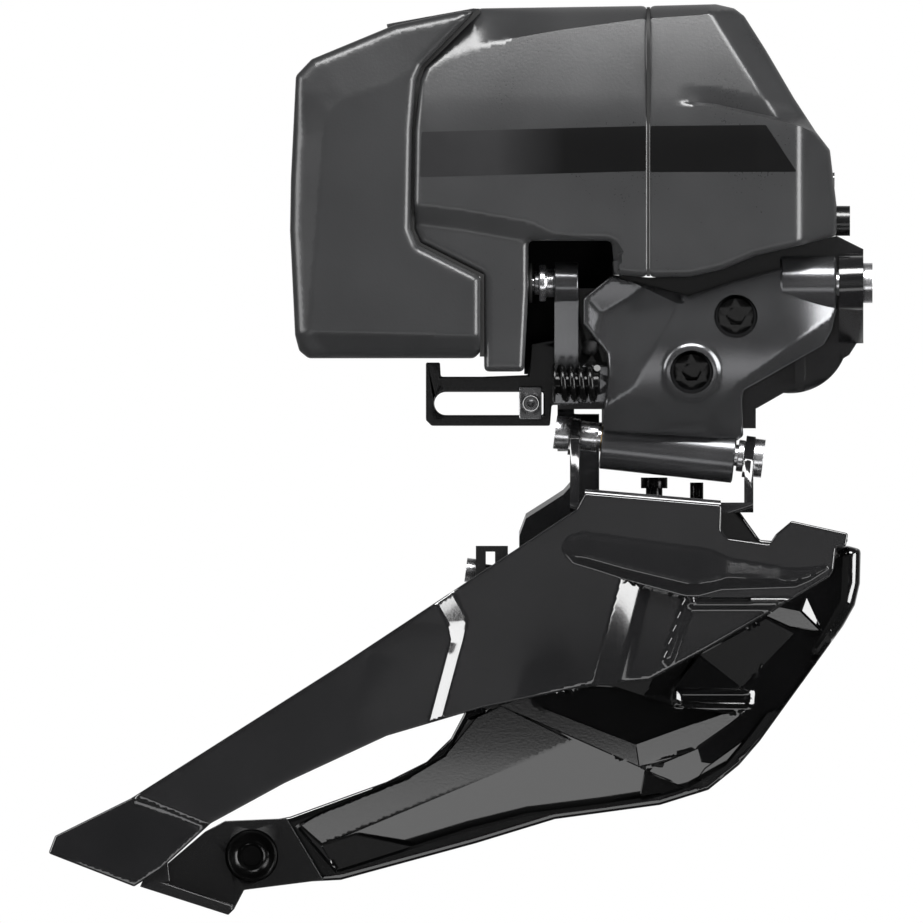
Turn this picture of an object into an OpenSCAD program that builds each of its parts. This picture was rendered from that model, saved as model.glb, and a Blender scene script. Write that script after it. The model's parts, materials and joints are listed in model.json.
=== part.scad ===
// Wireless front derailleur: motor housing, battery, four-pivot linkage and chain cage.
// Millimetres. Origin at the middle of the mounting thread on the mounting face.
// +X points to the front of the bicycle, +Y inboard, +Z up.

/* [Mounting] */
// Radius of the wall of the M5 mounting thread
mount_r = 2.1; // [2.05:0.05:2.2]
// Length of the threaded wall behind the mounting face
mount_len = 8; // [7:0.5:8]

/* [Housing] */
// Wall thickness of the two housing shells
wall = 1.2; // [1:0.1:1.3]
// Depth of the pocket for the dark side stripe
stripe_t = 0.3; // [0.2:0.05:0.4]
// Radius of the function button
button_r = 1.8; // [1.6:0.05:1.9]

/* [Battery] */
// Width of the battery across the bicycle
battery_w = 30; // [29:0.5:31]
// Wall thickness of the battery case
battery_wall = 1; // [0.8:0.1:1.2]

/* [Linkage] */
// Radius of the lower barrel of the outer link
barrel_r = 2.6; // [2.5:0.05:2.7]
// Radius of the long cage pivot pin
cage_pin_r = 1.3; // [1.2:0.05:1.4]
// Radial clearance of the running pivots
run_gap = 0.04; // [0.02:0.01:0.08]

/* [Cage] */
// Thickness of the cage plates
plate_t = 1.2; // [1:0.1:1.3]
// Clear width between the cage plates
chain_gap = 11.8; // [11.6:0.1:12]

/* [Support] */
// Height of the slot in the support bracket
slot_h = 2.76; // [2.6:0.02:2.9]

/* [Hidden] */
$fn = 48;
// pivots: Y and Z of the four axes, the lower two slope down to the front
p1_y = -16;
p1_z = 6.24;
p2_y = -11.7;
p2_x = -15;
p2_z = -13.34;
slope = 7.3;
off_y = 14;
off_z = -17.9;
p3_y = p1_y + off_y;
p3_z = p1_z + off_z;
lean = atan((p2_y - p1_y) / (p1_z - p2_z));
// housing limits
y_out = -23;
y_in = 6.5;
y_front_in = -1.4;
seam_x = -17;
// cage
gap_mid = -10.5;
outer_in = gap_mid - chain_gap / 2;
inner_out = gap_mid + chain_gap / 2;
// gears: tooth counts, module and centres
gm = 0.45;
n_out = 22;
n_p2 = 11;
n_w2 = 24;
n_p1 = 10;
n_w1 = 26;
n_mot = 10;
a2 = 78;
a1 = 50;
am = 95;
g2_y = p1_y + gm * (n_out + n_p2) / 2 * cos(a2);
g2_z = p1_z + gm * (n_out + n_p2) / 2 * sin(a2);
g1_y = g2_y + gm * (n_w2 + n_p1) / 2 * cos(a1);
g1_z = g2_z + gm * (n_w2 + n_p1) / 2 * sin(a1);
mo_y = g1_y + gm * (n_w1 + n_mot) / 2 * cos(am);
mo_z = g1_z + gm * (n_w1 + n_mot) / 2 * sin(am);

// side outline of the joined housing
house_pts = [
  [-37.2, 39.2], [-17, 39.5], [-8.9, 39.7], [-6.7, 39.2], [-5.5, 38.3], [-2.9, 34.2],
  [0.5, 28.4], [3.1, 24.4], [4.8, 22.2], [5.6, 15.5], [5.6, 11.9], [1.8, 10.9],
  [-4.2, 9.5], [-8, 7.9], [-12, 7], [-17, 6.9], [-21.1, 7.3], [-21.4, 11.3],
  [-31.4, 11.3], [-31.4, 5.4], [-31.9, -4.4], [-36.7, -4.4], [-36.8, 7.2],
  [-44.4, 11], [-45.2, 12.7], [-45, 24.6], [-44.5, 30.6], [-43.9, 32.2]
];
// side outline of the battery
pack_pts = [
  [-37.5, 39.1], [-40.9, 38.6], [-47.5, 37.2], [-57.4, 33.1], [-59.3, 31.1],
  [-59.9, 18.7], [-60, 12.5], [-59.4, 0], [-58.9, -1.9], [-57.8, -2.8],
  [-37.9, -2.8], [-37.1, -2], [-37.1, 7], [-44.7, 10.8], [-45.5, 12.7],
  [-45.3, 24.6], [-44.8, 30.6], [-44.2, 32.2]
];
// side outline of the outer link
link_pts = [
  [-24.8, 4.4], [-21.5, 7.3], [-19, 6.6], [-12.2, 4.7], [-6.7, 6.5], [-1.6, 7.9],
  [4.7, 9.1], [5.6, 9.5], [5.6, 3.1], [4.4, 2.6], [-1.6, -1.6], [-8, -6.2],
  [-10.4, -8.6], [-10.3, -10.7], [-7.4, -13], [-8, -14.5], [-21, -13], [-22.5, -11.2],
  [-22.4, -9.6], [-21.8, -4.4], [-22, -2.3], [-24.8, 1.3]
];
// side outline of the outer cage plate
outer_pts = [
  [-24.6, -19.4], [-8.2, -20.2], [-8.3, -23.4], [-7.4, -24.4], [-2.5, -25.1],
  [-1.7, -23.9], [0.2, -22.3], [7, -23.8], [6.7, -25.4], [5.5, -25.4], [5.2, -28.1],
  [4.7, -29], [0.4, -31.6], [-10.2, -37.8], [-16.9, -41.4], [-23.8, -42],
  [-37.2, -44.8], [-48.4, -48.1], [-60.7, -53.8], [-69.5, -58.6], [-75.6, -64.2],
  [-78.7, -66.2], [-89, -62.2], [-88.2, -60.1], [-79.1, -55.6], [-53.6, -39.4],
  [-25.6, -21.1]
];
// side outline of the inner cage plate
inner_pts = [
  [-24, -20.4], [-6.6, -20.4], [-3.6, -24.6], [7, -25.3], [8.5, -25.7], [8.4, -29.8],
  [7.8, -32.4], [6.4, -34.9], [-3.6, -48.7], [-6.1, -51.6], [-9.8, -54.6],
  [-15.6, -56.4], [-28.2, -58.1], [-37.7, -61], [-53.9, -65.4], [-66, -66],
  [-70, -59.6], [-60, -57.8], [-48.4, -53.6], [-43.6, -51.2], [-40.7, -48.4],
  [-39.1, -45.4], [-38.6, -31], [-30, -25.5], [-25.2, -21.6]
];

// plate lying in the XZ plane between two Y values
module slab(y0, y1) {
  translate([0, y1, 0]) rotate([90, 0, 0]) linear_extrude(height = y1 - y0) children();
}

// profile drawn in Y and Z, run along X between two values
module along_x(x0, x1, y = 0, z = 0) {
  translate([x0, y, z]) rotate([90, 0, 90]) linear_extrude(height = x1 - x0) children();
}

module rod_x(r, x0, x1, y, z) {
  translate([x0, y, z]) rotate([0, 90, 0]) cylinder(r = r, h = x1 - x0);
}

module rod_y(r, y0, y1, x, z) {
  translate([x, y1, z]) rotate([90, 0, 0]) cylinder(r = r, h = y1 - y0);
}

module box(x0, x1, y0, y1, z0, z1) {
  translate([x0, y0, z0]) cube([x1 - x0, y1 - y0, z1 - z0]);
}

// rod on the sloping cage pivot axis, or on the lower inner axis when moved by the link offset
module rod_low(r, x0, x1, inner = 0, drop = 0) {
  translate([p2_x, p2_y + inner * off_y, p2_z + inner * off_z - drop])
    rotate([0, 90 + slope, 0])
      translate([0, 0, (x0 - p2_x) / cos(slope)]) cylinder(r = r, h = (x1 - x0) / cos(slope));
}

// frame of the outer link: Y and Z measured from the upper pivot, leaning with the link
module on_link() {
  translate([0, p1_y, p1_z]) rotate([lean, 0, 0]) children();
}

// frame of the inner link
module on_inner() {
  translate([0, p3_y, p3_z]) rotate([lean, 0, 0]) children();
}

// round wire coil along +Z
module coil(r, wire, pitch, turns) {
  steps = 10;
  for (i = [0:turns * steps - 1])
    hull() {
      rotate(i * 360 / steps) translate([r, 0, i * pitch / steps]) rotate([90, 0, 0])
        cylinder(r = wire, h = 0.02, center = true, $fn = 8);
      rotate((i + 1) * 360 / steps) translate([r, 0, (i + 1) * pitch / steps]) rotate([90, 0, 0])
        cylinder(r = wire, h = 0.02, center = true, $fn = 8);
    }
}

module hex_socket(r, depth) {
  cylinder(r = r, h = depth, $fn = 6);
}

// spur gear outline with a tooth at the given angle
module gear_2d(n, at) {
  rp = n * gm / 2;
  circle(r = rp - 0.72 * gm);
  for (i = [0:n - 1])
    rotate(at + i * 360 / n)
      polygon([[rp - gm, -0.3], [rp + 0.58 * gm, -0.14], [rp + 0.58 * gm, 0.14], [rp - gm, 0.3]]);
}

// housing body: side outline cut by the end profile and the plan, all set in by d
module house_solid(d) {
  intersection() {
    slab(y_out - 1, y_in + 1) offset(delta = -d) polygon(house_pts);
    along_x(-50, 10) offset(r = 5 - d, $fn = 32)
      polygon([[y_out + 5, -10], [y_in - 5, -10], [y_in - 5, 34.8], [y_out + 5, 34.8]]);
    translate([0, 0, -10]) linear_extrude(height = 60) offset(delta = -d)
      polygon([[-46, y_out + 0.8], [-45, y_out], [-3, y_out], [2.8, y_out + 2], [5.6, y_out + 6],
        [5.6, -6], [3, y_front_in], [-13, y_front_in], [-19, y_in], [-45, y_in], [-46, y_in - 0.8]]);
  }
}

module stripe_2d() {
  polygon([[-45.6, 24.8], [-3.2, 24.8], [0.9, 19.5], [-45.6, 19.2]]);
}

module rear_shell() {
  color([0.16, 0.16, 0.17])
  difference() {
    intersection() {
      house_solid(0);
      box(-50, seam_x - 0.2, -30, 20, -10, 50);
    }
    difference() {
      house_solid(wall);
      // boss round the output shaft and floor of the latch notch
      rod_x(3.2, -36.9, -35.75, p1_y, p1_z);
      box(-42, -34, -15.6, -0.4, 35.8, 38.4);
      box(-21.9, seam_x, -22.2, -9.8, 7, 10.2);
    }
    // relief under the floor for the swinging link
    box(-22.5, seam_x + 1, -21.6, -11, 0, 8.9);
    // output shaft bore and its journal
    rod_x(1.9, -33.5, -31, p1_y, p1_z);
    rod_x(0.8, -36.2, -35, p1_y, p1_z);
    // pocket of the stripe
    slab(y_out - 1, y_out + stripe_t) intersection() {
      stripe_2d();
      translate([-44.2, 0]) square([30, 40]);
    }
    // window of the battery contacts
    box(-46, -43, -14, -2, 15.5, 23.5);
    // notch of the battery latch
    box(-40.2, -35.1, -14.3, -1.7, 37, 41);
    rod_y(0.55, -16, 0, -36.2, 38.1);
    // tapped holes of the leg
    rod_y(1, 0, 8, -34.3, -1.8);
  }
}

module front_shell() {
  color([0.16, 0.16, 0.17])
  difference() {
    intersection() {
      house_solid(0);
      box(seam_x + 0.2, 20, -30, 20, -10, 50);
    }
    house_solid(wall);
    slab(y_out - 1, y_out + stripe_t) stripe_2d();
    // button bore
    rod_x(button_r + 0.05, 3, 8, -12, 13.7);
    rod_x(button_r + 0.65, 1.5, 3.45, -12, 13.7);
    // lens hole
    rod_x(0.9, 3, 8, -12, 18.6);
    // screw holes in the floor
    translate([-13.5, -6, 4]) cylinder(r = 1, h = 6);
    translate([-1, -10, 6]) cylinder(r = 1, h = 8);
  }
}

module seam_gasket() {
  color([0.05, 0.05, 0.05])
  intersection() {
    difference() {
      house_solid(0.15);
      house_solid(wall);
    }
    box(seam_x - 0.2, seam_x + 0.2, -30, 20, -10, 50);
  }
}

module stripe_rear() {
  color([0.03, 0.03, 0.03])
  slab(y_out, y_out + stripe_t) intersection() {
    stripe_2d();
    translate([-44.2, 0]) square([seam_x - 0.2 + 44.2, 40]);
  }
}

module stripe_front() {
  color([0.03, 0.03, 0.03])
  slab(y_out, y_out + stripe_t) intersection() {
    stripe_2d();
    translate([seam_x + 0.2, 0]) square([13.5, 40]);
  }
}

module contact_block() {
  color([0.1, 0.1, 0.11])
  difference() {
    union() {
      box(-44.8, -42, -13.9, -2.1, 15.6, 23.4);
      box(-43.5, -42, -15, -1, 14.5, 24.5);
    }
    for (y = [-11, -8, -5]) rod_x(0.8, -46, -41, y, 19.5);
  }
}

module contact_pins() {
  color([0.8, 0.65, 0.3])
  for (y = [-11, -8, -5]) {
    rod_x(0.8, -44.9, -40.6, y, 19.5);
    rod_x(1.1, -42, -41.4, y, 19.5);
  }
}

module circuit_board() {
  color([0.05, 0.25, 0.12])
  union() {
    box(-40.4, -19.6, 3.6, 4.4, 14, 32.5);
    box(-39.6, -36, 2.4, 3.6, 28, 32);
    box(-33, -29, 2.6, 3.6, 20, 25);
    box(-27, -23.5, 2.2, 3.6, 27, 31);
    for (z = [16:2:24]) box(-40.2, -38.8, 3, 3.6, z, z + 1);
  }
}

module motor_can() {
  color([0.6, 0.6, 0.62])
  difference() {
    union() {
      rod_x(6, -29.7, -11, mo_y, mo_z);
      rod_x(2.4, -11, -9.6, mo_y, mo_z);
      rod_x(2, -30.2, -29.7, mo_y, mo_z);
    }
    rod_x(0.56, -31, -9, mo_y, mo_z);
    rod_x(5.2, -28.6, -12.2, mo_y, mo_z);
  }
}

module gear_frame() {
  color([0.75, 0.73, 0.65])
  difference() {
    union() {
      box(-37.6, -36.4, -18.5, 0, 9.4, 34);
      box(-30.9, -29.7, -18.5, 0, 13, 34);
      for (p = [[-17.2, 24], [-1.8, 31.5], [-1.6, 12.8 + 2]])
        rod_x(1.2, -36.4, -30.9, p[0], p[1]);
    }
    rod_x(0.6, -38, -29, g1_y, g1_z);
    rod_x(0.6, -38, -35, g2_y, g2_z);
    rod_x(2, -31, -29.6, mo_y, mo_z);
    rod_x(2.7, -38, -36, mo_y, mo_z);
  }
}

module gear_pins() {
  color([0.8, 0.8, 0.82])
  union() {
    rod_x(0.6, -37.6, -29.7, g1_y, g1_z);
    rod_x(0.6, -37.6, -32.85, g2_y, g2_z);
  }
}

module output_bush() {
  color([0.72, 0.55, 0.25])
  difference() {
    rod_x(1.9, -32.6, -31.5, p1_y, p1_z);
    rod_x(1 + run_gap, -34, -30, p1_y, p1_z);
  }
}

module shaft_seal() {
  color([0.04, 0.04, 0.04])
  difference() {
    rod_x(2.4, -31.4, -30.95, p1_y, p1_z);
    rod_x(1 + run_gap, -32, -30, p1_y, p1_z);
  }
}

module status_lens() {
  color([0.85, 0.9, 0.85])
  union() {
    rod_x(0.9, 3.9, 5.35, -12, 18.6);
    rod_x(1.3, 3.2, 3.9, -12, 18.6);
  }
}

module button_spring() {
  color([0.75, 0.75, 0.77])
  translate([-0.4, -12, 13.7]) rotate([0, 90, 0]) coil(1.3, 0.2, 0.65, 4);
}

module latch_pin() {
  color([0.8, 0.8, 0.82])
  rod_y(0.55, -15.8, -0.2, -36.2, 38.1);
}

module chassis() {
  color([0.07, 0.07, 0.075])
  difference() {
    union() {
      // back wall
      slab(-8, -2) polygon([
        [-26, 5.6], [-22.2, 5.6], [-21.2, 7.2], [-17, 6.9], [-12, 7], [-8, 7.9], [-4.2, 9.5],
        [1.8, 10.9], [5.6, 11.9], [8.8, 10.3], [8.8, 3.8], [8, -1], [7.1, -2.4], [-1.2, -7.2],
        [-4, -8.8], [-5.8, -8.7], [-19, -8.9], [-26, -8.9]]);
      // flange under the housing
      slab(-11.4, -8) polygon([
        [-20.5, 7.24], [-17, 6.9], [-12, 7], [-8, 7.9], [-4.2, 9.5], [1.8, 10.9], [5.6, 11.9],
        [8.8, 10.3], [8.8, 7], [2, 8.6], [-4, 7.2], [-8, 5.6], [-12, 4.8], [-20.5, 4.8]]);
      // rounded mounting pad
      rod_y(7, -8, 0, 0, 0);
      // front lug of the upper pivot
      along_x(5.9, 8.8) polygon([[p1_y, 3], [-8, -1], [-2, -1], [-2, 10.3], [p1_y, 9.5]]);
      rod_x(3.25, 5.9, 8.8, p1_y, p1_z);
      // lugs of the inner pivot
      for (x = [-27.9, -22.6]) {
        rod_x(2.3, x, x + 2, p3_y, p3_z);
        along_x(x, x + 2) polygon([[-4.3, p3_z], [0.3, p3_z], [-2, -8.7], [-6, -8.7]]);
      }
      box(-27.9, -25.9, -8, -2, -8.9, -5.5);
      // stop strut and ribs
      slab(-8, -4.5) polygon([[-6, -6], [-4.1, -6], [-4.1, -11.2], [-6, -11.2]]);
      slab(-10, -8) polygon([[0.6, -1], [1.8, -1], [1.8, -5.4], [0.6, -6]]);
      slab(-10, -8) polygon([[-4, -4.6], [1.4, -1.4], [1.4, -2.6], [-4, -5.8]]);
      slab(-10, -8) polygon([[-19, -8.9], [-17, -8.9], [-14, 4.8], [-16, 4.8]]);
    }
    // mounting thread
    rod_y(mount_r, -mount_len, 1, 0, 0);
    // upper and inner pivots
    rod_x(1.6, 4, 10, p1_y, p1_z);
    rod_x(1.2, -29, -20, p3_y, p3_z);
    // screw holes up into the housing
    translate([-13.5, -6, 0]) cylinder(r = 1, h = 12);
    translate([-13.5, -6, -9.5]) cylinder(r = 1.9, h = 12.5);
    translate([-1, -10, 5]) cylinder(r = 1, h = 9);
    // bracket screw
    rod_y(1, -8.5, -1, -24, -1.5);
    // pockets that lighten the wall
    slab(-8.5, -4) polygon([[-19.6, -6.8], [-19.6, 3.2], [-22.4, 3.2], [-22.4, 1], [-21.4, -6.8]]);
  }
}

module chassis_screws() {
  color([0.7, 0.7, 0.72])
  difference() {
    union() {
      translate([-13.5, -6, 3]) cylinder(r = 1, h = 5.2);
      translate([-13.5, -6, 1.4]) cylinder(r = 1.8, h = 1.6);
      translate([-1, -10, 6.5]) cylinder(r = 1, h = 4.6);
      translate([-1, -10, 5.2]) cylinder(r = 1.2, h = 1.8);
    }
    translate([-13.5, -6, 1.3]) hex_socket(0.85, 1);
    translate([-1, -10, 5.1]) hex_socket(0.6, 0.8);
  }
}

module front_pivot_pin() {
  color([0.85, 0.85, 0.87])
  difference() {
    union() {
      rod_x(1.6, 5.9, 8.8, p1_y, p1_z);
      rod_x(1.5, 0.2, 5.9, p1_y, p1_z);
      rod_x(2.4, 8.8, 9.9, p1_y, p1_z);
    }
    translate([10, p1_y, p1_z]) rotate([0, -90, 0]) hex_socket(1.3, 1.4);
  }
}

module inner_pivot_pin() {
  color([0.75, 0.75, 0.77])
  union() {
    rod_x(1.2, -27.9, -20.6, p3_y, p3_z);
    rod_x(1.8, -20.6, -19.8, p3_y, p3_z);
  }
}

module support_bracket() {
  color([0.06, 0.06, 0.065])
  difference() {
    slab(-2, 0.4) polygon([
      [-43.7, -3.3], [-42, -3.3], [-41.9, -5], [-36.9, -5], [-31.4, -4.8], [-31.1, -1], [-22, 0.5],
      [-22, -8.4], [-28.6, -8.4], [-28.8, -10.9], [-43, -10.9], [-43.7, -10.2]]);
    // slot with a rounded end
    box(-41.3, -29.6, -3, 1, -8.22 - slot_h / 2, -8.22 + slot_h / 2);
    rod_y(slot_h / 2, -3, 1, -41.3, -8.22);
    rod_y(1, -3, 1, -24, -1.5);
  }
}

module bracket_screw() {
  color([0.7, 0.7, 0.72])
  difference() {
    union() {
      rod_y(1, -8, 0.4, -24, -1.5);
      rod_y(1.9, 0.4, 1.8, -24, -1.5);
    }
    translate([-24, 1.9, -1.5]) rotate([90, 0, 0]) hex_socket(0.9, 1);
  }
}

module slider_block() {
  color([0.35, 0.35, 0.36])
  difference() {
    union() {
      box(-32.5, -29.8, -4.2, -2.04, -10.1, -6.2);
      box(-32.5, -29.8, -2.04, 0.44, -8.22 - slot_h / 2 + 0.06, -8.22 + slot_h / 2 - 0.06);
      box(-32.5, -29.8, 0.44, 1.2, -10.1, -6.2);
    }
    rod_y(0.94, -5, 2, -31.1, -8.22);
  }
}

module support_screw() {
  color([0.7, 0.7, 0.72])
  difference() {
    rod_y(0.9, -4.8, 3.4, -31.1, -8.22);
    translate([-31.1, -3.8, -8.22]) rotate([90, 0, 0]) hex_socket(0.5, 1.2);
  }
}

module motor_shaft() {
  color([0.8, 0.8, 0.82])
  union() {
    rod_x(0.5, -33.3, -9.2, mo_y, mo_z);
    along_x(-32.6, -31.1, mo_y, mo_z) gear_2d(n_mot, am + 180);
    rod_x(4.6, -27.5, -13.5, mo_y, mo_z);
  }
}

module gear_one() {
  color([0.85, 0.83, 0.75])
  difference() {
    union() {
      along_x(-32.4, -31.3, g1_y, g1_z) gear_2d(n_w1, am + 180 / n_w1);
      along_x(-35.6, -34.4, g1_y, g1_z) gear_2d(n_p1, a1 + 180);
      rod_x(1.5, -34.4, -32.4, g1_y, g1_z);
    }
    rod_x(0.65, -37, -30, g1_y, g1_z);
  }
}

module gear_two() {
  color([0.85, 0.83, 0.75])
  difference() {
    union() {
      along_x(-35.6, -34.4, g2_y, g2_z) gear_2d(n_w2, a1 + 180 / n_w2);
      along_x(-34.4, -33.1, g2_y, g2_z) gear_2d(n_p2, a2 + 180);
    }
    rod_x(0.65, -37, -30, g2_y, g2_z);
  }
}

module output_shaft() {
  color([0.75, 0.75, 0.77])
  union() {
    rod_x(0.7, -36.1, -35.3, p1_y, p1_z);
    rod_x(1, -35.3, -25.4, p1_y, p1_z);
    along_x(-34.2, -33, p1_y, p1_z) gear_2d(n_out, a2 + 180 / n_out);
  }
}

module output_collar() {
  color([0.9, 0.9, 0.92])
  difference() {
    union() {
      rod_x(2.2, -30.1, -29.3, p1_y, p1_z);
      rod_x(1.4, -30.7, -30.1, p1_y, p1_z);
      rod_x(1.7, -29.3, -28.3, p1_y, p1_z);
    }
    rod_x(1, -32, -28, p1_y, p1_z);
  }
}

module drive_arm() {
  color([0.2, 0.2, 0.21])
  difference() {
    union() {
      rod_x(2.5, -28.3, -25.4, p1_y, p1_z);
      on_link() {
        box(-28.3, -25.4, -1.7, 1.7, -14.6, 0);
        box(-25.4, -19.4, -0.8, 1.2, -14.6, -10);
      }
    }
    rod_x(1, -29, -25, p1_y, p1_z);
    on_link() rod_y(0.9, -2, 2, -20.9, -12.2);
  }
}

module arm_screw() {
  color([0.75, 0.75, 0.77])
  on_link() difference() {
    union() {
      rod_y(0.9, -1.6, 1.2, -20.9, -12.2);
      rod_y(1.6, 1.2, 2.3, -20.9, -12.2);
    }
    translate([-20.9, 2.4, -12.2]) rotate([90, 0, 0]) hex_socket(0.8, 0.8);
  }
}

module clutch_spring() {
  color([0.05, 0.05, 0.055])
  on_link() union() {
    translate([-27.6, -4.1, -11.4]) rotate([0, 90, 0]) coil(1.9, 0.45, 1.1, 4);
    rod_x(1.5, -28.2, -22.8, -4.1, -11.4);
    rod_x(2.4, -28.5, -28.1, -4.1, -11.4);
    box(-28.3, -25.6, -4.6, -1.7, -12, -10.8);
  }
}

module outer_link() {
  color([0.2, 0.2, 0.21])
  difference() {
    union() {
      on_link() intersection() {
        slab(-3.4, 3.4) scale([1, 1 / cos(lean)]) translate([0, -p1_z]) polygon(link_pts);
        union() {
          // face
          box(-26, 6, -3.4, -0.8, -22, 4);
          // rim that runs down to the barrel and bosses of the screws
          box(-9.5, -6.5, -1, 2, -22, -16.5);
          rod_y(3.5, -3.4, 1, -6.5, -3.44);
          rod_y(3.5, -3.4, 1, -11.8, -10.3);
        }
      }
      // front ear of the upper pivot
      rod_x(3.2, -1.2, 5.6, p1_y, p1_z);
      on_link() box(-1.2, 5.6, -3.4, 0, -3.1, 0);
      // barrel of the cage pivot
      rod_low(barrel_r, -22.7, -6.6);
      rod_low(barrel_r, -22.7, -6.6, 0, 0.7);
      // web between barrel and face
      on_link() box(-21.6, -10.6, -3.3, 0.6, -19.2, -15);
    }
    // slanted top corner, clear of the housing over the whole swing
    on_link() along_x(-26, -13.6) polygon([[-3.5, -1.6], [-3.5, 3], [1.1, 3]]);
    // upper pivot bore with its bush
    rod_x(2.1, -0.4, 6, p1_y, p1_z);
    // cage pivot bore, with a wider part for each bush
    rod_low(cage_pin_r + 0.35, -24, -5);
    // limit screw recesses
    for (p = [[-6.5, -3.44], [-11.8, -10.3]]) {
      on_link() rod_y(2.8, -5, -1.7, p[0], p[1]);
      on_link() rod_y(1.3, -5, 2, p[0], p[1]);
    }
    // thread of the arm screw
    on_link() rod_y(0.9, -1.6, 0, -20.9, -12.2);
  }
}

module link_bushes() {
  color([0.72, 0.55, 0.25])
  union() {
    difference() {
      rod_x(2.1, -0.3, 5.6, p1_y, p1_z);
      rod_x(1.5 + run_gap, -1, 7, p1_y, p1_z);
    }
    difference() {
      rod_low(cage_pin_r + 0.35, -22.7, -17);
      rod_low(cage_pin_r + run_gap, -24, -5);
    }
    difference() {
      rod_low(cage_pin_r + 0.35, -12.3, -6.6);
      rod_low(cage_pin_r + run_gap, -24, -5);
    }
  }
}

module limit_screw(x, z) {
  on_link() difference() {
    union() {
      rod_y(2.2, -3, -1.75, x, z);
      rod_y(1.25, -1.75, 2.2, x, z);
    }
    translate([x, -2, z]) rotate([90, 0, 0]) hex_socket(1.2, 2);
  }
}

module high_limit_screw() {
  color([0.05, 0.05, 0.05]) limit_screw(-6.5, -3.44);
}

module low_limit_screw() {
  color([0.05, 0.05, 0.05]) limit_screw(-11.8, -10.3);
}

module inner_link() {
  color([0.2, 0.2, 0.21])
  difference() {
    union() {
      on_inner() slab(-1.4, 1.4) polygon([
        [-25.6, 0], [-25.6, -5.5], [-27.2, -7.35], [-28.7, -8.35], [-31.7, -10.3], [-32.5, -12.5],
        [-32.5, -18], [-30.7, -18], [-30.6, -14.5], [-29.2, -12.6], [-26, -10.8],
        [-22.9, -8.5], [-22.9, 0]]);
      rod_x(2.2, -25.6, -22.9, p3_y, p3_z);
      rod_low(2.1, -32.5, -30.7, 1);
    }
    rod_x(1.6, -26, -22, p3_y, p3_z);
    rod_low(1.16, -35, -29, 1);
  }
}

module inner_link_bush() {
  color([0.72, 0.55, 0.25])
  difference() {
    rod_x(1.6, -25.6, -22.9, p3_y, p3_z);
    rod_x(1.2 + run_gap, -27, -22, p3_y, p3_z);
  }
}

module cage_yoke() {
  color([0.06, 0.06, 0.065])
  difference() {
    union() {
      for (x = [-26.4, -5.5]) {
        rod_low(2.5, x, x + 1.1);
        along_x(x, x + 1.1) polygon([
          [p2_y - 2.4, x < -15 ? -12.2 : -14.9], [p2_y + 2.4, x < -15 ? -12.2 : -14.9],
          [p2_y + 4, -20.1], [p2_y - 3.2, -20.1]]);
      }
      box(-26.4, -4.4, outer_in, inner_out, -21.3, -20.1);
      // tabs welded to the plates
      box(-23, -9, outer_in, outer_in + 1, -25.4, -20.1);
      box(-23, -9, inner_out - 1, inner_out, -25.4, -20.1);
    }
    rod_low(cage_pin_r, -30, 0);
    // seats of the pin heads and rings
    rod_low(2.05, -29, -26.4);
    rod_low(2.35, -4.4, -2);
    rod_low(1.8, -25.3, -22);
    rod_low(1.95, -7, -5.5);
    translate([-16.3, -6.8, -22]) cylinder(r = 1, h = 3);
    translate([-11.2, -6.8, -22]) cylinder(r = 0.6, h = 3);
  }
}

module cage_pivot_pin() {
  color([0.85, 0.85, 0.87])
  difference() {
    union() {
      rod_low(cage_pin_r, -26.4, -4.4);
      rod_low(2, -28.2, -26.4);
      rod_low(2.3, -4.4, -3.2);
    }
    translate([p2_x, p2_y, p2_z]) rotate([0, 90 + slope, 0])
      translate([0, 0, (-3.9 - p2_x) / cos(slope)]) hex_socket(1.1, 2);
  }
}

module pivot_rings() {
  color([0.9, 0.9, 0.92])
  difference() {
    union() {
      rod_low(1.75, -25.3, -23.05);
      rod_low(1.9, -6.3, -5.5);
    }
    rod_low(cage_pin_r, -30, 0);
  }
}

module yoke_screw() {
  color([0.1, 0.1, 0.1])
  difference() {
    union() {
      translate([-16.3, -6.8, -21.3]) cylinder(r = 1, h = 3.4);
      translate([-16.3, -6.8, -18.4]) cylinder(r = 1.6, h = 1.3);
      translate([-16.3, -6.8, -20.1]) cylinder(r = 1.5, h = 0.6);
    }
    translate([-16.3, -6.8, -17.8]) hex_socket(0.8, 1);
  }
}

module yoke_post() {
  color([0.1, 0.1, 0.1])
  union() {
    translate([-11.2, -6.8, -21.3]) cylinder(r = 0.6, h = 2);
    translate([-11.2, -6.8, -20.1]) cylinder(r = 0.8, h = 2.4);
  }
}

module cage_outer_plate() {
  color([0.04, 0.04, 0.045])
  difference() {
    union() {
      slab(outer_in - plate_t, outer_in) polygon(outer_pts);
      // rolled top edge and front flange
      slab(outer_in, outer_in + 1.6) polygon([[-25, -20.1], [-24.6, -19.4], [-10.25, -20.1]]);
      slab(outer_in, outer_in + 3) polygon([[0.2, -22.3], [7, -23.8], [6.8, -24.8], [0.2, -23.4]]);
      // stiffening ribs pressed into the face
      slab(outer_in - plate_t - 0.5, outer_in - plate_t) polygon([
        [-25.4, -23.8], [-8.4, -25.6], [-2, -27.4], [0, -28.8], [-0.6, -29.2], [-9, -28.2],
        [-16, -28.6], [-22, -27.6], [-26, -25.4]]);
      slab(outer_in - plate_t - 0.4, outer_in - plate_t) polygon([
        [-23.8, -30], [-21.2, -30], [-21.8, -36], [-22.6, -41.4], [-24, -41.6]]);
      slab(outer_in - plate_t - 0.4, outer_in - plate_t) polygon([
        [-39.4, -34.4], [-38.6, -34.6], [-41.6, -44], [-42.6, -44.6]]);
    }
    slab(outer_in - plate_t - 2, outer_in - plate_t - 0.15) polygon([
      [-24.6, -24.6], [-8.6, -26.3], [-2.4, -28], [-2, -28.4], [-9, -27.4], [-16, -27.8],
      [-22, -26.8]]);
  }
}

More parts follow.
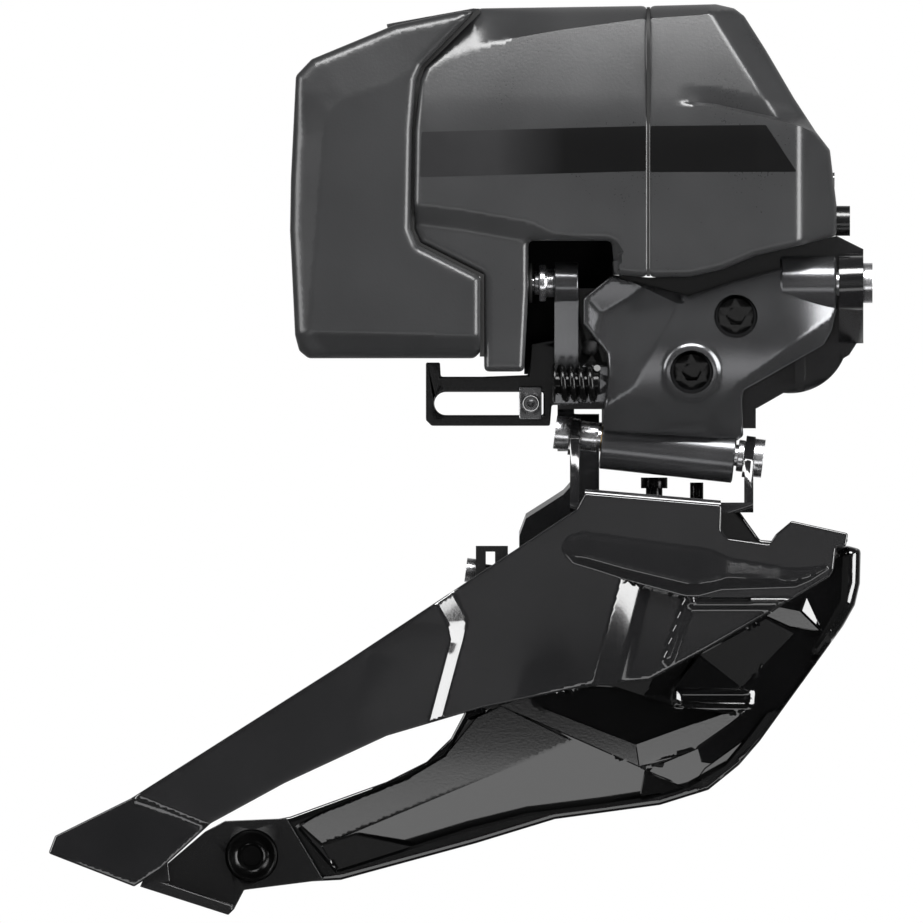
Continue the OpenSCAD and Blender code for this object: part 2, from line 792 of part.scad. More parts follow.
module cage_inner_plate() {
  color([0.06, 0.06, 0.065])
  difference() {
    union() {
      slab(inner_out, inner_out + plate_t) polygon(inner_pts);
      // turned rim along the bottom edge
      slab(inner_out - 1.4, inner_out) difference() {
        polygon([[8.5, -25.7], [8.4, -29.8], [7.8, -32.4], [6.4, -34.9], [-3.6, -48.7],
          [-6.1, -51.6], [-9.8, -54.6], [-15.6, -56.4], [-28.2, -58.1], [-37.7, -61],
          [-53.9, -65.4], [-55.6, -64.9], [-54, -64.2], [-37.9, -59.9], [-28.4, -57],
          [-15.8, -55.3], [-10.3, -53.6], [-6.9, -50.9], [-4.5, -48], [5.5, -34.3],
          [6.8, -32], [7.4, -29.7], [7.5, -25.6]]);
      }
    }
    // tail screw
    rod_y(1.5, inner_out - 1, inner_out + 3, -64.6, -62.5);
  }
}

module inner_pivot_bracket() {
  color([0.06, 0.06, 0.065])
  difference() {
    union() {
      slab(inner_out + plate_t, inner_out + plate_t + 1.3) polygon([
        [-37.7, -25.3], [-33.85, -25.3], [-33.85, -27.6], [-28.5, -26.6], [-28.5, -34], [-37.7, -34]]);
      along_x(-37.7, -36.5) ear_2d();
      along_x(-35.4, -33.85) ear_2d();
      along_x(-29.9, -28.5) ear_2d(-1);
      box(-37.7, -33.85, inner_out + plate_t, 4.2, -26, -25.3);
    }
    rod_low(1, -40, -27, 1);
    rod_low(1.5, -40, -37.7, 1);
    box(-36.5, -35.4, -6, 6, -28, -26);
  }
}

// ear of the lower inner pivot
module ear_2d(up = 0) {
  polygon([[inner_out + plate_t, -25.3 + up], [3.2, -25.3 + up], [4.6, -26.6 + up], [4.6, -30.4],
    [3.4, -31.6], [inner_out + plate_t, -34]]);
}

module lower_inner_pin() {
  color([0.85, 0.85, 0.87])
  union() {
    rod_low(1, -37.7, -28.1, 1);
    rod_low(1.45, -38.9, -37.7, 1);
  }
}

module tail_block() {
  color([0.02, 0.02, 0.02])
  difference() {
    union() {
      slab(inner_out - 3.2, inner_out) polygon([
        [-70.2, -59.6], [-67.8, -58.3], [-60.4, -58], [-56, -65.4], [-65.5, -66.6], [-66.7, -68.9],
        [-67.4, -69.6], [-78, -66.2], [-75.6, -64.2]]);
      slab(outer_in, inner_out - 3.2) polygon([
        [-78, -66.2], [-67.4, -69.6], [-66.9, -68.5], [-75, -65.8], [-77.4, -64.9]]);
      slab(outer_in, outer_in + 2.2) polygon([
        [-78, -66.2], [-77.4, -64.9], [-76.6, -62], [-74.8, -62.2], [-74.4, -65.6]]);
    }
    rod_y(1.5, inner_out - 6, inner_out + 3, -64.6, -62.5);
    rod_y(3.1, inner_out - 6, inner_out - 2.4, -64.6, -62.5);
  }
}

module tail_screw() {
  color([0.03, 0.03, 0.03])
  difference() {
    union() {
      rod_y(1.5, inner_out - 2.4, inner_out + 2.4, -64.6, -62.5);
      rod_y(3, inner_out - 3.8, inner_out - 2.4, -64.6, -62.5);
    }
    translate([-64.6, inner_out - 2.8, -62.5]) rotate([90, 0, 0])
      cylinder(r1 = 1.4, r2 = 2.7, h = 1.01);
    translate([-64.6, inner_out - 2, -62.5]) rotate([90, 0, 0]) hex_socket(1.2, 2);
  }
}

module tail_nut() {
  color([0.6, 0.6, 0.62])
  difference() {
    translate([-64.6, inner_out + plate_t + 2, -62.5]) rotate([90, 0, 0])
      cylinder(r = 2.8, h = 2, $fn = 6);
    rod_y(1.5, inner_out, inner_out + 4, -64.6, -62.5);
  }
}

// battery body set in by d
module pack_solid(d) {
  intersection() {
    slab(-30, 20) offset(delta = -d) polygon(pack_pts);
    translate([0, -8.2, 0]) along_x(-62, -30) offset(r = 4 - d, $fn = 32)
      polygon([[4 - battery_w / 2, -10], [battery_w / 2 - 4, -10], [battery_w / 2 - 4, 36],
        [4 - battery_w / 2, 36]]);
    translate([0, -8.2, -10]) linear_extrude(height = 60) offset(delta = -d)
      polygon([[-36, -battery_w / 2], [-57, -battery_w / 2], [-60, 4 - battery_w / 2],
        [-60.1, battery_w / 2 - 4], [-57, battery_w / 2], [-36, battery_w / 2]]);
  }
}

module battery_case() {
  color([0.17, 0.17, 0.18])
  difference() {
    pack_solid(0);
    difference() {
      pack_solid(battery_wall);
      // floor of the latch groove
      box(-49.6, -41, -15.3, -0.7, 34.6, 37.2);
    }
    // window of the contact face
    box(-48, -44, -14, -2, 14.4, 24.2);
    // groove under the latch
    box(-48.6, -36, -14.3, -1.7, 35.6, 41);
  }
}

module battery_face() {
  color([0.08, 0.08, 0.085])
  difference() {
    box(-46.4, -45.4, -13.9, -2.1, 14.5, 24.1);
    for (y = [-11, -8, -5]) rod_x(1, -47, -45, y, 19.5);
  }
}

module battery_cells() {
  color([0.55, 0.57, 0.6])
  union() {
    box(-58, -52.9, -19, 3, 2, 28.5);
    box(-52.5, -47.4, -19, 3, 2, 33);
  }
}

module battery_pads() {
  color([0.8, 0.65, 0.3])
  for (y = [-11, -8, -5]) rod_x(1, -46.4, -45.5, y, 19.5);
}

module battery_latch() {
  color([0.14, 0.14, 0.15])
  difference() {
    union() {
      slab(-14, -2) polygon([
        [-48.4, 37.3], [-47.4, 37.5], [-38, 39.2], [-36.2, 39.1], [-35.5, 38.6], [-35.5, 37.7],
        [-36.8, 37.6], [-38.4, 38.1], [-41.6, 37.4], [-48.2, 36.3]]);
    }
    rod_y(0.6, -16, 0, -36.2, 38.1);
    // grip grooves
    for (i = [0:3]) box(-47.6 + i * 1.3, -47.1 + i * 1.3, -13, -3, 37.5 + i * 0.2, 40);
  }
}

module function_button() {
  color([0.08, 0.08, 0.085])
  union() {
    rod_x(button_r, 3.4, 7.2, -12, 13.7);
    rod_x(button_r + 0.6, 2.4, 3.4, -12, 13.7);
  }
}

rear_shell();
front_shell();
seam_gasket();
stripe_rear();
stripe_front();
contact_block();
contact_pins();
circuit_board();
motor_can();
gear_frame();
gear_pins();
output_bush();
shaft_seal();
status_lens();
button_spring();
latch_pin();
chassis();
chassis_screws();
front_pivot_pin();
inner_pivot_pin();
support_bracket();
bracket_screw();
slider_block();
support_screw();
motor_shaft();
gear_one();
gear_two();
output_shaft();
output_collar();
drive_arm();
arm_screw();
clutch_spring();
outer_link();
link_bushes();
high_limit_screw();
low_limit_screw();
inner_link();
inner_link_bush();
cage_yoke();
cage_pivot_pin();
pivot_rings();
yoke_screw();
yoke_post();
cage_outer_plate();
cage_inner_plate();
inner_pivot_bracket();
lower_inner_pin();
tail_block();
tail_screw();
tail_nut();
battery_case();
battery_face();
battery_cells();
battery_pads();
battery_latch();
function_button();
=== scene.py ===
import json
import math
import bpy
import numpy as np
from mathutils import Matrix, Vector
from mathutils.geometry import delaunay_2d_cdt


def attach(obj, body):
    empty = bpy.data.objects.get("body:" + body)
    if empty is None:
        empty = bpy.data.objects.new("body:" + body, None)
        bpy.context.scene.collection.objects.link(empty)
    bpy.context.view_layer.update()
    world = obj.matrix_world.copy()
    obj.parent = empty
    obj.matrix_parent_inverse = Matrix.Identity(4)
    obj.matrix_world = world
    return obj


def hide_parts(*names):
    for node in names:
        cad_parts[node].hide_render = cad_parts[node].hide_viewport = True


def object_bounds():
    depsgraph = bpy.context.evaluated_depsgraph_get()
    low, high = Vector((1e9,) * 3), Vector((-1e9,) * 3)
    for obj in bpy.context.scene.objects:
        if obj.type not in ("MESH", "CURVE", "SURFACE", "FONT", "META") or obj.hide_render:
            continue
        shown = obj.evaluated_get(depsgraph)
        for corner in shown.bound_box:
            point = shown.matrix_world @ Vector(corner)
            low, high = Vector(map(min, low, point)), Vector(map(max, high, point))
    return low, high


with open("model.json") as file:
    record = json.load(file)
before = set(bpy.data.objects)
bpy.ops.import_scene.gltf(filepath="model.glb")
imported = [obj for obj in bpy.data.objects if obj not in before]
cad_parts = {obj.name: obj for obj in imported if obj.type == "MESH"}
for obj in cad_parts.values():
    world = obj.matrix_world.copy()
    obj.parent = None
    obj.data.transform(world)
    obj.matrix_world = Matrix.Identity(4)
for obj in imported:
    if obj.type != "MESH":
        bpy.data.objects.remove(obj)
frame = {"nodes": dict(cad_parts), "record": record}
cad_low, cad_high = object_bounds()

scene = bpy.context.scene
MM = 0.001                        # metres in a millimetre; shapes below are in millimetres
LEAN = math.atan(4.3 / 19.58)     # how far the two links lean at rest
SLOPE = math.radians(7.3)         # the lower pivots run down to the front by this
UPPER_Y, UPPER_Z = -16, 6.24      # axis of the outer link's upper pivot, which runs along X
PACK_FRONT, PACK_BACK = -23.2, 6.8
HOUSING_FRONT = -23
OUTER_PLATE, INNER_PLATE = -17.6, -4.6     # drive side faces of the cage plates

# ---------------------------------------------------------------- plane geometry (millimetres, X and Z)
def arr(p):
    return np.array(p, float).reshape(-1, 2)


def seg_dist(p, a, b):
    ab = b - a
    t = np.clip(((p - a) @ ab) / max(ab @ ab, 1e-12), 0, 1)
    return np.linalg.norm(p - a - t[:, None] * ab, axis=1)


def line_dist(p, pts, closed=False):
    pts = arr(pts)
    d = np.full(len(p), 1e9)
    for i in range(len(pts) if closed else len(pts) - 1):
        d = np.minimum(d, seg_dist(p, pts[i], pts[(i + 1) % len(pts)]))
    return d


def inside(p, poly):
    poly = arr(poly)
    hit = np.zeros(len(p), bool)
    for i in range(len(poly)):
        (x1, z1), (x2, z2) = poly[i], poly[(i + 1) % len(poly)]
        if z1 == z2:
            continue
        cross = (z1 > p[:, 1]) != (z2 > p[:, 1])
        hit ^= cross & (p[:, 0] < (x2 - x1) * (p[:, 1] - z1) / (z2 - z1) + x1)
    return hit


def signed(p, poly):
    """Distance to a closed outline, negative inside it."""
    d = line_dist(p, poly, True)
    return np.where(inside(p, poly), -d, d)


def dense(pts, step, closed=True):
    pts = arr(pts)
    out = []
    for i in range(len(pts) if closed else len(pts) - 1):
        a, b = pts[i], pts[(i + 1) % len(pts)]
        n = max(1, int(math.ceil(np.linalg.norm(b - a) / step)))
        out += [a + (b - a) * k / n for k in range(n)]
    if not closed:
        out.append(pts[-1])
    return np.array(out)


def fillet(pts, r, steps=4):
    """Rounds the corners of a closed outline."""
    pts = arr(pts)
    n, out = len(pts), []
    for i in range(n):
        a, b, c = pts[i - 1], pts[i], pts[(i + 1) % n]
        u, v = a - b, c - b
        lu, lv = np.linalg.norm(u), np.linalg.norm(v)
        u, v = u / lu, v / lv
        cosang = np.clip(u @ v, -1, 1)
        half = math.acos(cosang) / 2
        if half > math.radians(86):
            out.append(b)
            continue
        t = min(r / math.tan(half), lu * 0.45, lv * 0.45)
        p0, p1 = b + u * t, b + v * t
        for k in range(steps + 1):
            s = k / steps
            out.append((1 - s) ** 2 * p0 + 2 * s * (1 - s) * b + s * s * p1)
    return np.array(out)


def inset(pts, d):
    """Closed outline moved inwards by d."""
    pts = arr(pts)
    area = np.sum(pts[:, 0] * np.roll(pts[:, 1], -1) - np.roll(pts[:, 0], -1) * pts[:, 1])
    sign = 1 if area > 0 else -1
    out = []
    for i in range(len(pts)):
        a, b, c = pts[i - 1], pts[i], pts[(i + 1) % len(pts)]
        e1, e2 = b - a, c - b
        e1, e2 = e1 / max(np.linalg.norm(e1), 1e-9), e2 / max(np.linalg.norm(e2), 1e-9)
        n1, n2 = np.array([-e1[1], e1[0]]) * sign, np.array([-e2[1], e2[0]]) * sign
        m = n1 + n2
        m = m / max(np.linalg.norm(m), 1e-9)
        out.append(b + m * d / max(m @ n1, 0.4))
    return np.array(out)


def rails(poly, *ds):
    """Closed loops inside an outline at these distances, as lines."""
    out = []
    for d in ds:
        q = inset(poly, d) if abs(d) > 1e-9 else arr(poly)
        out.append(np.vstack([q, q[:1]]))
    return out


def tracks(line, *ds):
    """Open lines beside a broken line at these distances, on its left for positive ones."""
    line, out = arr(line), []
    for d in ds:
        q = []
        for i in range(len(line)):
            n = np.zeros(2)
            for a, b in ((i - 1, i), (i, i + 1)):
                if a >= 0 and b < len(line):
                    e = line[b] - line[a]
                    n += np.array([-e[1], e[0]]) / np.linalg.norm(e)
            n /= np.linalg.norm(n)
            q.append(line[i] + n * d)
        out.append(np.array(q))
    return out


def seg_gap(p, segs):
    """Distance to the nearest of these segments."""
    d = np.full(len(p), 1e9)
    for a, b in segs:
        d = np.minimum(d, seg_dist(p, a, b))
    return d


def side_of(p, line):
    """Signed distance to the left of a broken line's nearest stretch."""
    line = arr(line)
    best, sign = np.full(len(p), 1e9), np.zeros(len(p))
    for i in range(len(line) - 1):
        a, b = line[i], line[i + 1]
        d = seg_dist(p, a, b)
        s = np.sign((b[0] - a[0]) * (p[:, 1] - a[1]) - (b[1] - a[1]) * (p[:, 0] - a[0]))
        take = d < best - 1e-9
        best, sign = np.where(take, d, best), np.where(take, s, sign)
    return best * sign


def round_line(pts, r, skip):
    """Rounded outline, and the part of it that isn't on the joint at x = skip."""
    loop = fillet(pts, r)
    keep = [(loop[i], loop[(i + 1) % len(loop)]) for i in range(len(loop))]
    return loop, [s for s in keep if not (abs(s[0][0] - skip) < 0.3 and abs(s[1][0] - skip) < 0.3)]


def circle(x, z, r, n=40):
    return [(x + r * math.cos(2 * math.pi * k / n), z + r * math.sin(2 * math.pi * k / n)) for k in range(n)]


def height(x, table):
    """Height of a broken line at x; the table runs from left to right."""
    t = arr(table)
    return np.interp(x, t[:, 0], t[:, 1])


def smooth(t):
    t = np.clip(t, 0, 1)
    return t * t * (3 - 2 * t)


def rounding(d, r):
    """How far a rounded edge of radius r falls back at distance d from the edge."""
    u = np.clip(r - np.maximum(d, 0), 0, r)
    return r - np.sqrt(np.maximum(r * r - u * u, 0))


def ridge(p, line, c, w, h):
    """Height of a pressed line: h over the half width c, running out at w."""
    return h * np.clip((w - line_dist(p, line)) / (w - c), 0, 1)


# ---------------------------------------------------------------- meshes
def make_mesh(name, verts, faces, sharp=32):
    me = bpy.data.meshes.new(name)
    me.from_pydata([tuple(v) for v in np.asarray(verts, float) * MM], [],
                   [tuple(int(i) for i in f) for f in faces])
    me.validate()
    me.polygons.foreach_set("use_smooth", [True] * len(me.polygons))
    me.set_sharp_from_angle(angle=math.radians(sharp))
    return me


def add(name, me, body, material, nodes=()):
    ob = bpy.data.objects.new(name, me)
    scene.collection.objects.link(ob)
    ob.data.materials.clear()
    ob.data.materials.append(material)
    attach(ob, body)
    if nodes:
        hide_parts(*nodes)
    return ob


def field(outline, front, back, lines=(), step=0.45, rings=(0.05, 0.18, 0.42), holes=()):
    """Closed solid between two height fields over an outline: (vertices, faces) in millimetres.

    front and back give Y at points (x, z). The mesh has edges along lines, and rows of points at the
    distances in rings from the outline, where its edge is rounded.
    """
    loops = [dense(outline, step)] + [dense(h, step) for h in holes]
    pts, edges = [], []
    for lp in loops:
        k = len(pts)
        pts += list(lp)
        edges += [(k + i, k + (i + 1) % len(lp)) for i in range(len(lp))]
    fixed = np.array(pts)
    bound = [arr(lp) for lp in loops]

    def edge_gap(q):
        return np.min([line_dist(q, b, True) for b in bound], axis=0)

    # rows of points along the rounded edge
    soft = []
    for r in rings:
        q = inset(loops[0], r)
        q = q[(edge_gap(q) > r * 0.9) & inside(q, outline)]
        soft.append(q)
    # the creases, as far as they lie inside the outline
    lines = [dense(ln, step, False) for ln in lines]
    for ln in lines:
        keep = inside(ln, outline) & (line_dist(ln, bound[0], True) > 0.03)
        for h in holes:
            keep &= ~inside(ln, h)
        k0 = None
        for p, ok in zip(ln, keep):
            if ok:
                pts.append(p)
                if k0 is not None:
                    edges.append((k0, len(pts) - 1))
                k0 = len(pts) - 1
            else:
                k0 = None
    # a triangular grid in between, kept clear of the edge and the creases
    lo, hi = fixed.min(0), fixed.max(0)
    gx, gz = np.meshgrid(np.arange(lo[0], hi[0], step), np.arange(lo[1], hi[1], step * 0.87))
    gx[1::2] += step / 2
    grid = np.stack([gx.ravel(), gz.ravel()], 1)
    grid = grid[inside(grid, outline)]
    gap = edge_gap(grid)
    grid = grid[gap > max(list(rings) + [0.1]) + step * 0.4]
    for ln in lines:
        if len(ln) > 1 and len(grid):
            grid = grid[line_dist(grid, ln) > step * 0.45]
    for q in soft:
        for ln in lines:
            if len(q):
                q = q[line_dist(q, ln) > 0.12]
        pts += list(q)
    pts += list(grid)
    verts, _, faces, _, _, _ = delaunay_2d_cdt([Vector(p) for p in pts], edges, [], 0, 1e-4)
    v = np.array([tuple(p) for p in verts])
    f = np.array([tuple(t) for t in faces], int)
    c = v[f].mean(1)
    keep = inside(c, outline)
    for h in holes:
        keep &= ~inside(c, h)
    f = f[keep]
    a, b, c = v[f[:, 0]], v[f[:, 1]], v[f[:, 2]]
    turn = (b[:, 0] - a[:, 0]) * (c[:, 1] - a[:, 1]) - (b[:, 1] - a[:, 1]) * (c[:, 0] - a[:, 0])
    f[turn < 0] = f[turn < 0][:, ::-1]
    # front, back and the walls between them
    used = np.unique(f)
    remap = np.full(len(v), -1)
    remap[used] = np.arange(len(used))
    v, f = v[used], remap[f]
    n = len(v)
    yf, yb = front(v), back(v)
    verts = np.concatenate([np.stack([v[:, 0], yf, v[:, 1]], 1), np.stack([v[:, 0], yb, v[:, 1]], 1)])
    seen = {}
    for t in f:
        for i in range(3):
            seen[(t[i], t[(i + 1) % 3])] = 1
    walls = [(i, j) for (i, j) in seen if (j, i) not in seen]
    faces = [tuple(t) for t in f] + [tuple(t[::-1] + n) for t in f] + [(j, i, i + n, j + n) for i, j in walls]
    return verts, faces


def merge(*parts):
    vs, fs, k = [], [], 0
    for v, f in parts:
        vs.append(np.asarray(v, float))
        fs += [tuple(int(i) + k for i in t) for t in f]
        k += len(v)
    return np.concatenate(vs), fs


def lathe(profile, n=56):
    """Solid of revolution round X: profile is (x, r) from left to right, ends closed."""
    pr = [(profile[0][0], 0.0)] + list(profile) + [(profile[-1][0], 0.0)]
    vs, fs = [], []
    for x, r in pr:
        for k in range(n):
            a = 2 * math.pi * k / n
            vs.append((x, r * math.cos(a), r * math.sin(a)))
    m = len(pr)
    for i in range(m - 1):
        for k in range(n):
            a, b = i * n + k, i * n + (k + 1) % n
            fs.append((a, a + n, b + n, b))
    return np.array(vs), fs


def place(part, y, z, pitch=0.0, x0=0.0):
    """Turns a lathed part round Y by pitch about x0 and puts its axis at y and z."""
    v, f = part
    v = np.array(v)
    x = v[:, 0] - x0
    c, s = math.cos(pitch), math.sin(pitch)
    out = np.stack([x0 + x * c + v[:, 2] * s, v[:, 1] + y, z - x * s + v[:, 2] * c], 1)
    return out, f


def block(xs, ys, zs):
    """Plain inner block between two values on each axis."""
    v = np.array([(x, y, z) for x in xs for y in ys for z in zs], float)
    return v, [(0, 1, 3, 2), (4, 6, 7, 5), (0, 4, 5, 1), (2, 3, 7, 6), (0, 2, 6, 4), (1, 5, 7, 3)]


def tube(path, r, n=10):
    """Round bar along a path, with closed ends."""
    path = np.array(path, float)
    vs, fs = [], []
    t = np.gradient(path, axis=0)
    t /= np.linalg.norm(t, axis=1)[:, None]
    up = np.array([0.0, 0.0, 1.0]) if abs(t[0, 2]) < 0.9 else np.array([1.0, 0, 0])
    for p, d in zip(path, t):
        up = up - d * (up @ d)
        up /= np.linalg.norm(up)
        w = np.cross(d, up)
        for k in range(n):
            a = 2 * math.pi * k / n
            vs.append(p + r * (math.cos(a) * up + math.sin(a) * w))
    m = len(path)
    for i in range(m - 1):
        for k in range(n):
            a, b = i * n + k, i * n + (k + 1) % n
            fs.append((a, b, b + n, a + n))
    fs.append(tuple(range(n))[::-1])
    fs.append(tuple((m - 1) * n + k for k in range(n)))
    return np.array(vs), fs


def roll(x0, z0, x1, z1, r, y0, n=28, m=14):
    """Half round strip of radius r from (x0, z0) to (x1, z1), starting at y0."""
    vs, fs = [], []
    for i in range(n + 1):
        s = i / n
        for k in range(m):
            a = math.pi * k / (m - 1)
            vs.append((x0 + (x1 - x0) * s, y0 + r * (1 - math.cos(a)), z0 + (z1 - z0) * s + r * math.sin(a)))
    for i in range(n):
        for k in range(m - 1):
            q = i * m + k
            fs.append((q, q + 1, q + m + 1, q + m))
    return np.array(vs), fs


def lathe_y(profile, x, z, n=56):
    """Solid of revolution round Y at x and z: profile is (y, r)."""
    vs, fs = [], []
    for y, r in profile:
        for k in range(n):
            a = 2 * math.pi * k / n
            vs.append((x + r * math.cos(a), y, z + r * math.sin(a)))
    for i in range(len(profile) - 1):
        for k in range(n):
            a, b = i * n + k, i * n + (k + 1) % n
            fs.append((a, b, b + n, a + n))
    return np.array(vs), fs


def link_pose(part):
    """Link frame (y, z from the upper pivot, leaning) to the row frame."""
    v, f = part
    v = np.array(v)
    c, s = math.cos(LEAN), math.sin(LEAN)
    y, z = v[:, 1].copy(), v[:, 2].copy()
    v[:, 1] = UPPER_Y + y * c - z * s
    v[:, 2] = UPPER_Z + y * s + z * c
    return v, f


# ---------------------------------------------------------------- materials
def material(name, color, rough, metal=0.0, coat=0.0, coat_rough=0.05, spec=0.5, grain=260.0, grain_depth=0.02,
             rough_var=0.06, tint_var=0.12, edge_highlight=0.0, brushed=None, gradient=None):
    """Mottled colour and gloss, a fine grain, and where asked painted highlights along the edges and a gradient
    along X.
    """
    m = bpy.data.materials.new(name)
    m.use_nodes = True
    nt = m.node_tree
    nodes, links = nt.nodes, nt.links
    nodes.clear()
    out = nodes.new("ShaderNodeOutputMaterial")
    b = nodes.new("ShaderNodeBsdfPrincipled")
    links.new(b.outputs[0], out.inputs[0])
    b.inputs["Metallic"].default_value = metal
    b.inputs["Specular IOR Level"].default_value = spec
    b.inputs["Coat Weight"].default_value = coat
    b.inputs["Coat Roughness"].default_value = coat_rough
    co = nodes.new("ShaderNodeTexCoord")
    mp = nodes.new("ShaderNodeMapping")
    links.new(co.outputs["Object"], mp.inputs["Vector"])
    if brushed:
        mp.inputs["Scale"].default_value = brushed
    # slow mottling of colour and gloss
    big = nodes.new("ShaderNodeTexNoise")
    big.inputs["Scale"].default_value = grain * 0.35
    big.inputs["Detail"].default_value = 4
    links.new(mp.outputs[0], big.inputs["Vector"])
    ramp = nodes.new("ShaderNodeValToRGB")
    ramp.color_ramp.elements[0].position, ramp.color_ramp.elements[1].position = 0.3, 0.72
    lo = [c * (1 - tint_var) for c in color]
    hi = [min(1, c * (1 + tint_var)) for c in color]
    ramp.color_ramp.elements[0].color = (*lo, 1)
    ramp.color_ramp.elements[1].color = (*hi, 1)
    links.new(big.outputs["Fac"], ramp.inputs[0])
    colour = ramp.outputs[0]
    if gradient:
        (x0, x1, other) = gradient
        sep = nodes.new("ShaderNodeSeparateXYZ")
        links.new(co.outputs["Object"], sep.inputs[0])
        mr = nodes.new("ShaderNodeMapRange")
        mr.inputs["From Min"].default_value, mr.inputs["From Max"].default_value = x0 * MM, x1 * MM
        links.new(sep.outputs[0], mr.inputs["Value"])
        mx = nodes.new("ShaderNodeMix")
        mx.data_type = "RGBA"
        links.new(mr.outputs[0], mx.inputs["Factor"])
        links.new(colour, mx.inputs[6])
        mx.inputs[7].default_value = (*other, 1)
        colour = mx.outputs[2]
    # painted highlight: sharp convex edges get a much lighter colour, standing in for light caught along them
    if edge_highlight:
        geo = nodes.new("ShaderNodeNewGeometry")
        er = nodes.new("ShaderNodeMapRange")
        er.inputs["From Min"].default_value, er.inputs["From Max"].default_value = 0.53, 0.6
        er.inputs["To Max"].default_value = edge_highlight
        links.new(geo.outputs["Pointiness"], er.inputs["Value"])
        wx = nodes.new("ShaderNodeMix")
        wx.data_type = "RGBA"
        links.new(er.outputs[0], wx.inputs["Factor"])
        links.new(colour, wx.inputs[6])
        wx.inputs[7].default_value = (*[min(1, c * 3 + 0.02) for c in color], 1)
        colour = wx.outputs[2]
    links.new(colour, b.inputs["Base Color"])
    fine = nodes.new("ShaderNodeTexNoise")
    fine.inputs["Scale"].default_value = grain * 12
    fine.inputs["Detail"].default_value = 3
    links.new(mp.outputs[0], fine.inputs["Vector"])
    rr = nodes.new("ShaderNodeMapRange")
    rr.inputs["To Min"].default_value = max(0.02, rough - rough_var)
    rr.inputs["To Max"].default_value = rough + rough_var
    add_ = nodes.new("ShaderNodeMath")
    add_.operation = "ADD"
    half = nodes.new("ShaderNodeMath")
    half.operation = "MULTIPLY"
    half.inputs[1].default_value = 0.5
    links.new(big.outputs["Fac"], add_.inputs[0])
    links.new(fine.outputs["Fac"], add_.inputs[1])
    links.new(add_.outputs[0], half.inputs[0])
    links.new(half.outputs[0], rr.inputs["Value"])
    links.new(rr.outputs[0], b.inputs["Roughness"])
    bump = nodes.new("ShaderNodeBump")
    bump.inputs["Strength"].default_value = grain_depth
    bump.inputs["Distance"].default_value = 0.0002
    links.new(fine.outputs["Fac"], bump.inputs["Height"])
    links.new(bump.outputs[0], b.inputs["Normal"])
    return m


M = {
    "housing": material("satin_graphite", (0.019, 0.0192, 0.0198), 0.29, metal=0.1, grain=300,
                        grain_depth=0.05, edge_highlight=0.10),
    "battery": material("satin_battery", (0.016, 0.0162, 0.0168), 0.32, metal=0.1, grain=260,
                        grain_depth=0.06, edge_highlight=0.08),
    "stripe": material("stripe_black", (0.012, 0.012, 0.0125), 0.30, spec=0.3, grain=500, grain_depth=0.02,
                       gradient=(-35, -27, (0.0012, 0.0012, 0.0013))),
    "seal": material("rubber_black", (0.006, 0.006, 0.006), 0.6, spec=0.3, grain=500, grain_depth=0.1),
    "contact_carrier": material("black_polymer", (0.012, 0.012, 0.013), 0.45, grain=600, grain_depth=0.1),
    "gold": material("gold_contacts", (0.72, 0.48, 0.16), 0.2, metal=1.0, grain=700),
    "board": material("board_green", (0.01, 0.05, 0.03), 0.4, grain=900, grain_depth=0.1, tint_var=0.4),
    "motor": material("motor_steel", (0.42, 0.42, 0.44), 0.3, metal=1.0, brushed=(1, 8, 8)),
    "gear": material("gear_brass", (0.45, 0.33, 0.16), 0.3, metal=1.0, grain=700),
    "steel": material("plain_steel", (0.42, 0.42, 0.43), 0.26, metal=1.0, grain=700, grain_depth=0.04),
    "chrome": material("bright_steel", (0.82, 0.82, 0.84), 0.27, metal=1.0, grain=900, grain_depth=0.03),
    "bush": material("bronze_bush", (0.35, 0.24, 0.11), 0.3, metal=1.0, grain=700),
    "lens": material("smoked_lens", (0.03, 0.03, 0.03), 0.08, coat=1.0, grain=700),
    "black_metal": material("black_anodised", (0.005, 0.005, 0.0053), 0.13, coat=0.3,
                            coat_rough=0.12, grain=500, grain_depth=0.03, edge_highlight=0.06),
    "graphite_metal": material("graphite_anodised", (0.085, 0.086, 0.089), 0.22, metal=0.85, grain=420,
                               grain_depth=0.035, edge_highlight=0.15),
    "plate": material("black_plate", (0.006, 0.006, 0.0063), 0.10, coat=0.6, coat_rough=0.04,
                      grain=300, grain_depth=0.012, rough_var=0.03, edge_highlight=0.05),
    "plate_inner": material("black_plate_inner", (0.0012, 0.0012, 0.0013), 0.09, coat=0.6, coat_rough=0.04,
                            grain=300, grain_depth=0.012, rough_var=0.03, edge_highlight=0.05),
    "black_screw": material("black_oxide", (0.0015, 0.0015, 0.0015), 0.2, spec=0.2, grain=800,
                            grain_depth=0.05),
    "tail": material("tail_polymer", (0.0035, 0.0035, 0.0037), 0.22, grain=500, grain_depth=0.06, edge_highlight=0.04),
    "cell": material("cell_wrap", (0.2, 0.22, 0.25), 0.35, grain=600),
}

# every CAD node takes its slot's finish, with its edges broken
BROAD_EDGES = ("chassis", "cage_yoke", "support_bracket", "drive_arm")
slots = {entry["node"]: entry["material_slot"] for entry in frame["record"]["subparts"]}
for n, ob in frame["nodes"].items():
    ob.data.materials.clear()
    ob.data.materials.append(M.get(slots.get(n), M["black_metal"]))
    if "custom_normal" in ob.data.attributes:
        ob.data.attributes.remove(ob.data.attributes["custom_normal"])
    ob.data.polygons.foreach_set("use_smooth", [True] * len(ob.data.polygons))
    w = ob.modifiers.new("weld", "WELD")
    w.merge_threshold = 0.000004
    bv = ob.modifiers.new("edges", "BEVEL")
    bv.width = 0.0002 if n in BROAD_EDGES else 0.00012
    bv.segments = 2
    bv.limit_method = "ANGLE"
    bv.angle_limit = math.radians(34)
    bv.use_clamp_overlap = True
    wn = ob.modifiers.new("normals", "WEIGHTED_NORMAL")
    wn.keep_sharp = True
    wn.weight = 60


